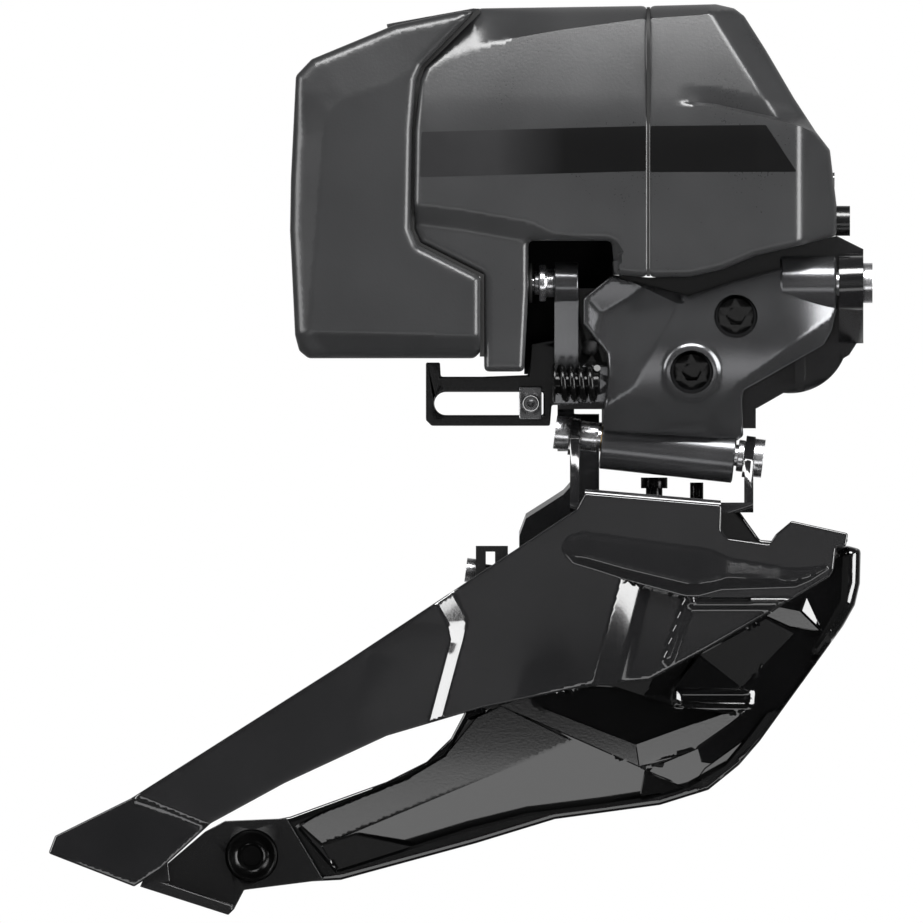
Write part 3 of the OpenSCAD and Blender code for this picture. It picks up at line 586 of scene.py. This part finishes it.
# ---------------------------------------------------------------- battery
pack_pts = [(-37.5, 39.1), (-40.9, 38.6), (-47.5, 37.2), (-57.4, 33.1), (-59.3, 31.1), (-59.9, 18.7),
            (-60, 12.5),
            (-59.4, 0), (-58.9, -1.9), (-57.8, -2.8), (-37.9, -2.8), (-37.1, -2), (-37.1, 7), (-44.7, 10.8),
            (-45.5, 12.7), (-45.3, 24.6), (-44.8, 30.6), (-44.2, 32.2)]
pack_line = fillet(pack_pts, 1.0)
panel = [(-57.7, 0.4), (-55.7, 24.8), (-55.2, 26.9), (-53.6, 28.3), (-48.4, 30), (-44.9, 31.8), (-30, 42),
         (-30, -0.24)]      # the flat of the drive side face
panel_low = [(-57.7, 0.4), (-45, 0.12), (-36, -0.24)]


def battery_front(p):
    """Flat panel whose margins fall away behind, above and below it."""
    x, z = p[:, 0], p[:, 1]
    d = np.maximum(signed(p, panel), 0)
    low = np.maximum(height(x, [(-62, 0.36), (-57, 0.36), (-36, -0.24)]) - z, 0)
    side = np.where(low > 0.2, np.minimum(d, np.abs(x + 57.7)), d)
    y = PACK_FRONT + np.interp(z, [24, 29], [0.34, 0.15]) * np.minimum(side, 12) + 0.42 * low
    y += 0.00056 * np.maximum(z - 8, 0) ** 2
    return y + rounding(line_dist(p, pack_line, True), 1.1)


def battery_back(p):
    z = p[:, 1]
    return PACK_BACK - rounding(line_dist(p, pack_line, True), 2.6) - 0.12 * np.maximum(z - 31, 0)


v, f = field(pack_line, battery_front, battery_back, [panel[:6], panel_low], 0.5, (0.04, 0.16, 0.4, 0.75))
add("battery_shell", make_mesh("battery_shell", v, f, 40), "battery", M["battery"], ["battery_case"])

# ---------------------------------------------------------------- motor housing
rear_pts = [(-37.2, 39.2), (-17.15, 39.5), (-17.15, 6.9), (-21.1, 7.3), (-21.4, 11.3), (-31.4, 11.3),
            (-31.4, 5.4),
            (-31.9, -4.4), (-36.7, -4.4), (-36.8, 7.2), (-44.4, 11), (-45.2, 12.7), (-45, 24.6), (-44.5, 30.6),
            (-43.9, 32.2)]
front_pts = [(-16.9, 39.5), (-8.9, 39.7), (-6.7, 39.2), (-5.5, 38.3), (-2.9, 34.2), (0.5, 28.4), (3.1, 24.4),
             (4.8, 22.2), (5.6, 15.5), (5.6, 11.9), (1.8, 10.9), (-4.2, 9.5), (-8, 7.9), (-12, 7), (-16.9, 6.9)]
crest = [(-44, 32), (-35.6, 35.2), (-27.6, 36.6), (-18.1, 37.9), (-10.8, 38.4), (-7, 38.9)]
shoulder = [(-12.7, 27.7), (-9.1, 27.4), (-1.3, 25.7), (1.4, 25), (2.6, 24.4), (4, 23.3), (5, 21.8)]
under = [(-46, 15.9), (-39.1, 15), (-31.2, 13.6), (-28.3, 12.2), (-23.4, 11.5), (-21.4, 11.4)]

rear_line, rear_edges = round_line(rear_pts, 0.7, -17.15)
front_line, front_edges = round_line(front_pts, 0.8, -16.9)


def house_front(p, segs, seam):
    """Drive side face of both shells; segs are the edges to round, seam is the x of the joint."""
    x, z = p[:, 0], p[:, 1]
    # flat below, leaning back above, and steeper again over the crest
    lean_back = np.where(z < 29, 0.02 * np.maximum(z - 23, 0) ** 2,
                         0.72 + 0.24 * (z - 29) + 0.004 * (z - 29) ** 2)
    y = HOUSING_FRONT + lean_back
    top = np.maximum(z - height(x, crest), 0)
    y = y + top * np.interp(x, [-44, -38, -33, -27, -6], [0.12, 0.14, 1.2, 2.0, 2.0])
    # slanted front end above the shoulder, with a step along the shoulder itself
    above = z - height(x, shoulder)
    slant = 0.851 * x + 0.526 * z - 12.3
    y = y + 0.95 * np.maximum(slant, 0) * smooth(above / 1.2)
    fade = smooth((x + 14) / 4.5)
    y = y + fade * (0.9 * np.clip(above / 0.35, 0, 1) - 0.28 * np.clip(above - 0.35, 0, 1.85))
    # rounded front corner below the shoulder
    bend = np.maximum(x - 0.6, 0)
    corner = 1.25 * np.where(bend < 1.4, bend ** 2 / 2.8, bend - 0.7)
    y = y + corner * smooth(1 - above) + 0.10 * np.maximum(x + 4, 0)
    # leg under the recess edge
    drop = height(x, under) - z
    y = y + np.where(x < -20.5, np.minimum(1.45, 0.6 * np.maximum(drop, 0)), 0)
    y = y + rounding(seg_gap(p, segs), 0.9)
    return y + rounding(np.abs(x - seam), 0.22)


def house_back(p, segs):
    """Inboard face: wide behind, narrow in front, with room for the link below."""
    x, z = p[:, 0], p[:, 1]
    plan = np.interp(x, [-46, -45, -19, -13, 3, 5.6], [5.7, 6.5, 6.5, -1.4, -1.4, -6])
    y = plan - rounding(seg_gap(p, segs), 2.0) - 0.25 * np.maximum(z - 33, 0)
    cut = (x > -22.5) & (z < 8.9)
    return np.where(cut & (x < -16), -21.7, y)


relief = [[(-22.5, 8.9), (-15.9, 8.9)], [(-22.5, 6), (-22.5, 8.9)]]      # edges of the room for the link
v, f = field(rear_line, lambda p: house_front(p, rear_edges, -17.1),
             lambda p: house_back(p, rear_edges),
             [crest, under] + relief, 0.5, (0.04, 0.16, 0.4, 0.7))
v, f = merge((v, f), block((-21.3, -17.2), (-10.8, 6.0), (7.2, 9.0)))
add("housing_rear", make_mesh("housing_rear", v, f, 38), "main", M["housing"], ["rear_shell"])
# black block deep in the recess, standing in for the shade there (painted shade), and a dark fill in the joint
# towards the battery
recess_shade_block = field([(-31.9, -4.7), (-31.9, 5.0), (-31.6, 11.5), (-21.2, 11.5), (-21.2, 5.6), (-26.4, 5.4),
                    (-27.4, -4.7)],
                   lambda p: np.where(p[:, 1] > 5.3, -1.2, 0.9), lambda p: np.full(len(p), 5.6),
                   [[(-32, 5.3), (-26, 5.3)], [(-32, 5.25), (-26, 5.25)]], 1.0, (0.2,))
seam_pts = [(-37.25, 39.0), (-44.05, 32.2), (-44.65, 30.6), (-45.15, 24.6), (-45.35, 12.7), (-44.55, 10.9),
            (-36.95, 7.1), (-36.95, -2.6)]
seam_fill = field(np.vstack([tracks(seam_pts, 0.28)[0], tracks(seam_pts, -0.28)[0][::-1]]),
                  lambda p: np.full(len(p), -21.6), lambda p: np.full(len(p), 5.0), [], 1.0, (0.1,))
v, f = merge(recess_shade_block, seam_fill)
add("housing_recess_shade_and_joint", make_mesh("housing_recess_shade_and_joint", v, f, 30), "main", M["seal"])
v, f = field(front_line, lambda p: house_front(p, front_edges, -16.95),
             lambda p: house_back(p, front_edges),
             [crest, [(2, 23.5), (-5.6, 35.9)]] + tracks(shoulder, 0, 0.18, 0.35, 2.2)
             + [[(a, 24.0), (a, 11.2)] for a in (0.6, 1.0, 1.4, 1.8)], 0.45, (0.04, 0.16, 0.4, 0.7))
add("housing_front", make_mesh("housing_front", v, f, 38), "main", M["housing"], ["front_shell"])


def strip(name, pts, segs, seam, node):
    line = fillet(pts, 0.15, 2)

    def outer(p):
        return house_front(p, segs, seam) - 0.03

    v, f = field(line, outer, lambda p: outer(p) + 0.3, [], 0.5, (0.05,))
    add(name, make_mesh(name, v, f, 40), "main", M["stripe"], [node])


strip("side_stripe_rear", [(-44.2, 24.36), (-17.3, 25.08), (-17.3, 19.68), (-44.4, 18.96)], rear_edges, -17.1,
      "stripe_rear")
strip("side_stripe_front", [(-16.75, 25.08), (-2.9, 25.2), (0.8, 19.6), (-16.75, 19.56)], front_edges, -16.95,
      "stripe_front")


# ---------------------------------------------------------------- outer link
link_pts = [(-24.8, 4.4), (-21.5, 7.1), (-19, 6.5), (-12.2, 4.7), (-6.7, 6.5), (-1.6, 7.9), (4.7, 9.1),
            (5.6, 9.3),
            (5.6, 3.1), (5.0, 0.6), (4.0, -1.2), (-5.6, -6.6), (-5.8, -7.8), (-5.6, -12.1), (-6.4, -12.7),
            (-6.6, -12.6), (-22.4, -11.5), (-22.4, -9.6), (-21.8, -4.4), (-22, -2.3), (-24.8, 1.3)]
link_line = fillet(link_pts, 0.5, 3)
fold = [(-13.6, 3.8), (-14.3, 1.8), (-16.6, -2), (-18.5, -6), (-21.7, -8.3)]
left_area = fold + [(-24, -12), (-30, -12), (-30, 10), (-12.0, 10)]
rim_low = [(5.8, 3), (0, -1.4), (-6.2, -6), (-10.1, -10), (-15.6, -11.2)]
lip = [(-22.1, 7.1), (-19.7, 6.7), (-13.6, 3.8)]
# the limit screws' sockets: x, z, radius, Y of the floor
sockets = [(-6.5, UPPER_Z - 3.44 * math.cos(LEAN) - 3.0 * math.sin(LEAN), 2.5, -16.95),
           (-11.8, UPPER_Z - 10.3 * math.cos(LEAN) - 3.0 * math.sin(LEAN), 2.5, -15.45)]
BOSS = 3.6      # radius of the raised ring round the lower socket


def link_plane(x, z):
    y = -19.4 + 0.019 * np.maximum(2.5 - z, 0) ** 2 + 0.014 * np.maximum(z - 2.5, 0) ** 2
    return y + 0.024 * np.maximum(x + 4.5, 0) ** 2


def link_front(p):
    """Curved face with a facet behind the fold, bevels above and below, and the two sockets."""
    x, z = p[:, 0], p[:, 1]
    y = link_plane(x, z)
    left = np.maximum(-signed(p, left_area), 0)
    y = y + 0.34 * np.minimum(left, 9)
    upper = np.maximum(z - height(x, lip), 0)
    y = y + np.where(x < -13, 1.1 * upper, 0)
    below = np.maximum(height(x, [(-15.6, -11.2), (-10.1, -10), (-6.2, -6), (5.8, 3)]) - z, 0)
    y = y + np.where(x > -15.6, 0.30 * below, 0)
    for i, (cx, cz, r, floor_y) in enumerate(sockets):
        d = np.hypot(x - cx, z - cz)
        if i == 1:
            y = y - 0.4 * smooth((BOSS - d) / 0.6)
        t = smooth((r + 0.12 - d) / 0.2)
        y = y * (1 - t) + floor_y * t
    return y + rounding(line_dist(p, link_line, True), 0.35)


def link_back(p):
    return np.maximum(link_front(p) + 1.4, -16.9 + 0.019 * np.maximum(2.5 - p[:, 1], 0) ** 2)


lines = [fold, rim_low, lip]
for cx, cz, r, _ in sockets:
    for k in (-0.08, 0.12):
        lines.append(circle(cx, cz, r + k, 44) + [(cx + r + k, cz)])
for r in (3.0, 3.3, BOSS):
    lines.append(circle(sockets[1][0], sockets[1][1], r, 44) + [(sockets[1][0] + r, sockets[1][1])])
face = field(link_line, link_front, link_back, lines, 0.42, (0.04, 0.14, 0.3))
barrel = lathe([(-22.7, 2.35), (-22.55, 2.6), (-6.75, 2.6), (-6.6, 2.35)])
barrel[0][:, 2] *= 1.15
barrel = place(barrel, -11.7, -13.88, SLOPE * 0.85, -15)
ear = place(lathe([(-1.2, 2.9), (-0.9, 3.2), (5.3, 3.2), (5.6, 2.9)]), UPPER_Y, UPPER_Z)
web = link_pose(block((-21.6, -8.5), (-1.6, 0.4), (-19.0, -15.5)))
v, f = merge(face, barrel, ear, web)
add("link_body", make_mesh("link_body", v, f, 36),
    "outer_arm", M["graphite_metal"], ["outer_link"])


# ---------------------------------------------------------------- clutch spring as wound wire
TURNS, PER_TURN, COIL, WIRE = 4.2, 24, 1.9, 0.42      # turns, points per turn, radii of the coil and the wire
AXIS_Y, AXIS_Z = -4.1, -11.4                          # its axis, in the link frame
path = []
for i in range(int(TURNS * PER_TURN) + 1):
    a = 2 * math.pi * i / PER_TURN
    path.append((-27.7 + 4.6 * i / (TURNS * PER_TURN), AXIS_Y + COIL * math.cos(a), AXIS_Z + COIL * math.sin(a)))
spring = tube(path, WIRE)
core = lathe([(-28.5, 2.1), (-28.3, 2.4), (-28.15, 2.4), (-28.1, 1.4), (-23.0, 1.4), (-22.8, 1.2)])
core = place(core, AXIS_Y, AXIS_Z)
hook = tube([(-27.7, -2.2, -11.4), (-27.7, -1.9, -11.0), (-27.2, -1.7, -10.8)], 0.4, 8)
v, f = link_pose(merge(spring, core, hook))
add("clutch_coil", make_mesh("clutch_coil", v, f, 40),
    "outer_arm", M["black_screw"], ["clutch_spring"])


# ---------------------------------------------------------------- outer cage plate
outer_pts = [(-24.6, -19.0), (-8.2, -20.4), (-8.3, -23.4), (-7.4, -24.4), (-2.5, -25.1), (-1.7, -23.9),
             (0.2, -22.3), (7, -23.8), (6.7, -25.4), (5.5, -25.4), (5.2, -28.1), (4.7, -29), (0.4, -31.6), (-10.2, -37.8),
             (-16.9, -41.4), (-23.8, -42), (-37.2, -44.8), (-48.4, -48.1), (-60.7, -53.8), (-69.5, -58.6),
             (-75.6, -64.2), (-78.7, -66.2), (-89, -62.2), (-88.2, -60.1), (-79.1, -55.6), (-53.6, -39.4),
             (-25.6, -20.9)]
outer_line = fillet(outer_pts, 0.35, 3)
# pressed lines: the step, the soft band, a line, a bar and the folds at the tail
chevron_l = [(-42.5, -32.2), (-41, -35.5), (-40.7, -36.6), (-43.2, -46.1)]
chevron_r = [(-40.2, -31), (-38.6, -34.1), (-38.9, -35.4), (-41.8, -46.1)]
band_l = [(-20.4, -29.4), (-23.8, -42.4)]
BAND = 4.2
slot_line = [(-12, -31.4), (-14.6, -38.8)]
bar_line = [(-11.5, -32.2), (0, -32.2)]
tail_fold = [(-78.8, -55.6), (-70.6, -59.6)]
tail_fold2 = [(-78.1, -55.2), (-69.4, -58.7)]

rib_up = [(-27.5, -25.7), (-26.6, -24.1), (-24.8, -23.6), (-9.2, -25.8), (-7.3, -26.8), (-0.1, -28),
          (4.3, -27.7)]
rib_down = [(-27.5, -25.7), (-27.1, -26.5), (-26.2, -27.5), (-23.5, -28.3), (-20.4, -29.3), (-17.5, -30.1),
            (-12.6, -31.4), (-10.8, -31.4), (-8.2, -30.7), (0.7, -30.4), (2.6, -29.6), (4.8, -28.2)]
rib = rib_up + rib_down[::-1][:-1]


def outer_front(p):
    """Drive side face of the outer plate."""
    x, z = p[:, 0], p[:, 1]
    y = OUTER_PLATE + 0.0036 * np.clip(-25 - z, 0, 20) ** 2 * smooth((x + 34) / 9)
    # pressed rib: a shallow upper slope, a crown, and a steep lower slope with a soft foot
    up, down = line_dist(p, rib_up), line_dist(p, rib_down)
    wide = np.interp(x, [-9.36, -7.44], [0.9, 2.3])
    steep = 0.31 + 0.09 * smooth((x + 8.16) / 0.6) * smooth((-0.48 - x) / 0.8)
    h_up = steep * np.minimum(up, wide) + 0.16 * np.maximum(up - wide, 0)
    h_down = 0.62 * np.where(down < 0.5, down ** 2, down - 0.25)
    y = y - np.where(inside(p, rib), np.minimum(h_up, h_down), 0)
    # panel behind the rib falls back in a soft band, then a pressed line and a pressed bar
    s = side_of(p, band_l)
    u = np.clip(s / BAND, 0, 1)
    below_rib = [(-27.6, -26.5), (-23.5, -28.3), (-20.4, -29.3), (-17.5, -30.1), (-12, -31.6), (1.2, -31.8)]
    gate = (z < height(x, below_rib)) & (x > -26)
    y = y + np.where(gate & (s > 0), 0.58 * BAND * (u - u ** 3 / 3), 0)
    y = y - np.where(gate, ridge(p, slot_line, 0.22, 0.75, 0.30), 0)
    y = y - ridge(p, bar_line, 0.25, 0.75, 0.26)
    # step at the chevron: the tail panel stands proud and leans back towards its upper edge
    a, b = np.maximum(side_of(p, chevron_l), 0), np.maximum(-side_of(p, chevron_r), 0)
    t = np.where(a + b > 1e-6, a / np.maximum(a + b, 1e-6), 1)
    y = y - np.interp(z, [-38.4, -34.44], [0.84, 1.12]) * np.where(x < -36, 1 - t, 0)
    q = -0.5 * (x + 43) + 0.86 * (z + 46.5)
    away = np.clip(-side_of(p, chevron_l) / 9, 0, 1)
    y = y + np.where(x < -36, 0.10 * (np.clip(q, 0, 14) - 6) * away, 0)
    # tail end beyond the fold turns inboard
    far = np.where(x < -70, np.maximum(-side_of(p, tail_fold), 0), 0)
    stripe = np.where(x < -68, np.clip(-side_of(p, tail_fold2), 0, 0.8), 0)
    y = y + 0.20 * far + 0.45 * stripe
    return y + rounding(line_dist(p, outer_line, True), 0.22)


def outer_back(p):
    return np.maximum(outer_front(p) + 1.0, -17.0)


v, f = field(outer_line, outer_front, outer_back,
             rails(rib, 0) + tracks(rib_up, -0.45, -0.9) + tracks(rib_down, 0.12, 0.25, 0.38, 0.5)
             + [band_l, tail_fold, tail_fold2]
             + tracks(chevron_l, 0.1, -0.1) + tracks(chevron_r, 0.1, -0.1)
             + tracks(band_l, -1.0, -2.1, -3.2, -BAND) + tracks(slot_line, -0.75, -0.22, 0.22, 0.75)
             + tracks(bar_line, -0.75, -0.25, 0.25, 0.75), 0.36, (0.05, 0.12, 0.22))
# rolled top edge and front flange
rolls = [roll(-24.6, -19.2, -8.3, -20.6, 0.75, -17.5), roll(0.5, -23.3, 6.9, -24.8, 0.95, -17.5)]
v, f = merge((v, f), *rolls)
add("cage_outer_skin", make_mesh("cage_outer_skin", v, f, 34),
    "cage", M["plate"], ["cage_outer_plate"])


# ---------------------------------------------------------------- inner cage plate
inner_pts = [(-24, -20.4), (-6.6, -20.4), (-3.6, -24.6), (7, -25.3), (8.5, -25.7), (8.4, -29.8), (7.8, -32.4),
             (6.4, -34.9), (-3.6, -48.7), (-6.1, -51.6), (-9.8, -54.6), (-15.6, -56.4), (-28.2, -58.1),
             (-37.7, -61), (-53.9, -65.4), (-66, -66), (-70, -59.6), (-60, -57.8), (-48.4, -53.6),
             (-43.6, -51.2), (-40.7, -48.4), (-39.1, -45.4), (-38.6, -31), (-30, -25.5), (-25.2, -21.6)]
inner_line = fillet(inner_pts, 0.6, 3)
panel_a = [(-37.7, -46), (-34.7, -44.5), (-25.9, -48.8), (-56.2, -61.3),
           (-58.8, -58.9), (-56.4, -57.6), (-45.8, -53.3), (-41.3, -50.4)]
slot_in = [(-13.6, -42.7), (-4.7, -42.7), (-4.8, -44.4), (-13.6, -44.3)]
rim_in = [(6.8, -25.8), (6.5, -31.8), (3.6, -36.6), (0.6, -40.4), (-5, -47.9), (-7.9, -51.4),
          (-12.4, -54.1), (-17, -55.4), (-22.8, -56.3), (-31.6, -57.4), (-38.6, -59.2), (-45.2, -61.3),
          (-54.4, -64.2), (-58.8, -59), (-56.4, -57.6), (-45.8, -53.3), (-41.3, -50.6), (-38.6, -46.4)]


# flat facets of the sunk middle, later ones over earlier ones:
# outline, anchor, Y at the anchor, slope along X, slope along Z
FACETS = [
    ([(-12, -36.6), (8.6, -25.2), (8.6, -31.8), (-5.8, -51), (-10.8, -54.6),
      (-18, -43.8)], (-3.6, -42.6), -4.9, 0.15, 0.0),
    ([(-10.9, -38.4), (-2.9, -34), (0.6, -35.8), (-5.8, -42.4)], (-5.8, -39), -5.0, 0.02, -0.02),
    (panel_a, (-25.9, -48.8), -4.9, 0.0, -0.150),
    ([(-25.9, -48.8), (-30, -46.2), (-24.6, -48.6), (-18.1, -51.8), (-16.8, -52.6), (-12.4, -54.4),
      (-17, -55.4), (-22.8, -56.4), (-31.6, -57.5), (-38.6, -59.3), (-45.2, -61.4), (-54.4, -64.3),
      (-56.2, -61.3)], (-25.9, -48.8), -4.9, 0.029, -0.219),
    ([(-17.4, -52.3), (-12.4, -54.4), (-16, -55.1), (-18, -55.4)], (-17.4, -52.3), -4.3, 0.1, -0.05),
    ([(-56.2, -61.3), (-52.1, -60), (-45.2, -61.4), (-54.4, -64.3)], (-56.2, -61.3), -4.4, 0.0, 0.06),
    ([(-35, -44.4), (-31.1, -43.4), (-30, -44.6), (-18.5, -49.1), (-18.1, -51.8),
      (-25.3, -48.6)], (-25.3, -48.6), -4.6, 0.0, -0.15),
    ([(-18.1, -51.8), (-18.5, -49.1), (-8.2, -45.5), (-5.4, -45.2),
      (-11, -49.6)], (-18.1, -51.8), -4.6, 0.03, -0.16),
    ([(-31.1, -43.4), (-22.9, -42.1), (-21.1, -42.2), (-14.4, -44.4), (-8.2, -45.4), (-18.5, -49.1),
      (-30, -44.6)], (-18.5, -49.1), -3.6, 0.15, 0.03),
    ([(-17.3, -52.2), (-11, -49.6), (-10.6, -51.2), (-7.9, -51.6),
      (-12.4, -54.4)], (-17.3, -52.2), -4.5, 0.0, -0.225),
    ([(-5.4, -48.5), (-4.9, -49.2), (-7.9, -52), (-12, -54.4), (-10.2, -52)], (-7.9, -52), -4.2, 0.0, -0.2),
    ([(-10.9, -38.4), (-14.4, -43.2), (-17.3, -43.1), (-16.4, -41.3)], (-14.4, -41.4), -4.7, 0.16, 0.0),
    ([(-2.9, -33.7), (-1.3, -32.6), (1.2, -33.1), (3.6, -35.5), (0, -35)], (0, -35), -4.7, 0.0, -0.17),
    ([(2, -31.4), (3.8, -35.4), (1.4, -33.1)], (2, -31.8), -4.9, 0.5, 0.0),
]


def inner_front(p):
    """Drive side face of the inner plate."""
    x, z = p[:, 0], p[:, 1]
    y = np.full(len(p), float(INNER_PLATE))
    for poly, (ax, az), y0, sx, sz in FACETS:
        y = np.where(inside(p, poly), y0 + sx * (x - ax) + sz * (z - az), y)
    # raised frame of the slot
    y = y - 0.24 * np.clip(1 - line_dist(p, slot_in, True) / 0.45, 0, 1)
    # turned rim round the edge, with a wider rounding along the front
    out = signed(p, rim_in)
    rim = np.clip(out / 0.35, 0, 1) * ((z < -45) | (x > 3))
    y = y * (1 - rim) - 5.9 * rim
    y = y + 0.09 * np.maximum(out - 0.35, 0) * (z < -45)
    gap = line_dist(p, inner_line, True)
    return y + rounding(gap, 0.3) + rounding(gap, 1.3) * (x > 5)


def inner_back(p):
    return np.maximum(inner_front(p) + 1.0, -3.4)


breaks = []
for poly, *_ in FACETS:
    breaks += rails(poly, 0.07, -0.07)
v, f = field(inner_line, inner_front, inner_back,
             breaks + rails(slot_in, 0, 0.45, -0.45) + rails(rim_in, 0, -0.35), 0.4, (0.05, 0.15, 0.3, 0.8, 1.3),
             holes=[circle(-64.6, -62.5, 1.5, 24)])
add("cage_inner_skin", make_mesh("cage_inner_skin", v, f, 30),
    "cage", M["plate_inner"], ["cage_inner_plate"])


# ---------------------------------------------------------------- dished tail screw
v, f = lathe_y([(-1.0, 0.01), (-1.0, 1.5), (-7.0, 1.5), (-7.0, 3.0), (-8.2, 3.05), (-8.4, 2.95), (-8.45, 2.8),
                 (-8.3, 2.6), (-7.7, 2.2), (-7.45, 1.75), (-7.5, 1.55), (-7.6, 1.4), (-7.45, 1.25),
                 (-6.2, 1.15),
                 (-6.2, 0.01)], -64.6, -62.5)
add("tail_bolt", make_mesh("tail_bolt", v, f, 30), "cage", M["black_screw"], ["tail_screw"])

# ---------------------------------------------------------------- floor, light, camera
HALF = 1.6                        # half the floor's side, metres
low = cad_low.z - 0.0015
floor_mesh = bpy.data.meshes.new("floor")
floor_mesh.from_pydata([(-HALF, -HALF, low), (HALF, -HALF, low), (HALF, HALF, low), (-HALF, HALF, low)], [],
                       [(0, 1, 2, 3)])
pale = material("pale_floor", (0.86, 0.86, 0.86), 0.6, grain=20, grain_depth=0.0, tint_var=0.01)
floor_mesh.materials.append(pale)
floor = bpy.data.objects.new("floor", floor_mesh)
scene.collection.objects.link(floor)
floor.visible_glossy = False      # black glossy faces reflect the studio, not the floor

# the studio: white to the camera, and a dim room with a pale patch at the camera and a pale back to everything
# else
world = bpy.data.worlds.new("studio")
scene.world = world
world.use_nodes = True
wn = world.node_tree
wn.nodes.clear()
w_out = wn.nodes.new("ShaderNodeOutputWorld")
w_cam = wn.nodes.new("ShaderNodeBackground")
w_env = wn.nodes.new("ShaderNodeBackground")
w_mix = wn.nodes.new("ShaderNodeMixShader")
w_path = wn.nodes.new("ShaderNodeLightPath")
w_cam.inputs[0].default_value = (1, 1, 1, 1)
w_cam.inputs[1].default_value = 1.0
w_tc = wn.nodes.new("ShaderNodeTexCoord")
w_sep = wn.nodes.new("ShaderNodeSeparateXYZ")
w_ramp = wn.nodes.new("ShaderNodeValToRGB")
w_mr = wn.nodes.new("ShaderNodeMapRange")
w_mr.inputs["From Min"].default_value, w_mr.inputs["From Max"].default_value = -1, 1
wn.links.new(w_tc.outputs["Generated"], w_sep.inputs[0])
wn.links.new(w_sep.outputs[1], w_mr.inputs["Value"])
wn.links.new(w_mr.outputs[0], w_ramp.inputs[0])
els = w_ramp.color_ramp.elements
els[0].position, els[0].color = 0.0025, (0.25, 0.25, 0.25, 1)
els[1].position, els[1].color = 1.0, (0.6, 0.6, 0.6, 1)
for at, level in ((0.014, 0.03), (0.5, 0.07), (0.8, 0.10)):
    mid = els.new(at)
    mid.color = (level, level, level, 1)
wn.links.new(w_ramp.outputs[0], w_env.inputs[0])
w_env.inputs[1].default_value = 1.0
wn.links.new(w_path.outputs["Is Camera Ray"], w_mix.inputs[0])
wn.links.new(w_env.outputs[0], w_mix.inputs[1])
wn.links.new(w_cam.outputs[0], w_mix.inputs[2])
wn.links.new(w_mix.outputs[0], w_out.inputs[0])


def soft_light(name, at, size, power, target=(-0.035, -0.012, -0.01)):
    """Rectangular light at a place in metres, turned to the middle of the part."""
    data = bpy.data.lights.new(name, "AREA")
    data.shape = "RECTANGLE"
    data.size, data.size_y = size
    data.energy = power
    ob = bpy.data.objects.new(name, data)
    scene.collection.objects.link(ob)
    ob.location = at
    ob.rotation_mode = "QUATERNION"
    ob.rotation_quaternion = (Vector(target) - Vector(at)).to_track_quat("-Z", "Y")
    ob.visible_camera = False


soft_light("light_top", (-0.02, -0.42, 0.52), (0.6, 0.25), 11)
soft_light("light_left", (-0.62, -0.30, 0.12), (0.30, 0.6), 4.2)
soft_light("light_right", (0.57, -0.42, 0.04), (0.36, 0.6), 9)
soft_light("light_low", (-0.04, -0.55, -0.28), (0.6, 0.12), 0.48)

# view from the drive side, framed like the photograph
cam_data = bpy.data.cameras.new("camera")
cam_data.type = "ORTHO"
cam_data.ortho_scale = 0.11076
cam_data.clip_start, cam_data.clip_end = 0.01, 10
cam = bpy.data.objects.new("camera", cam_data)
scene.collection.objects.link(cam)
cam.location = (-0.03942, -0.7, -0.01518)
cam.rotation_euler = (math.radians(90), 0, 0)
scene.camera = cam
scene.view_settings.view_transform = "Standard"
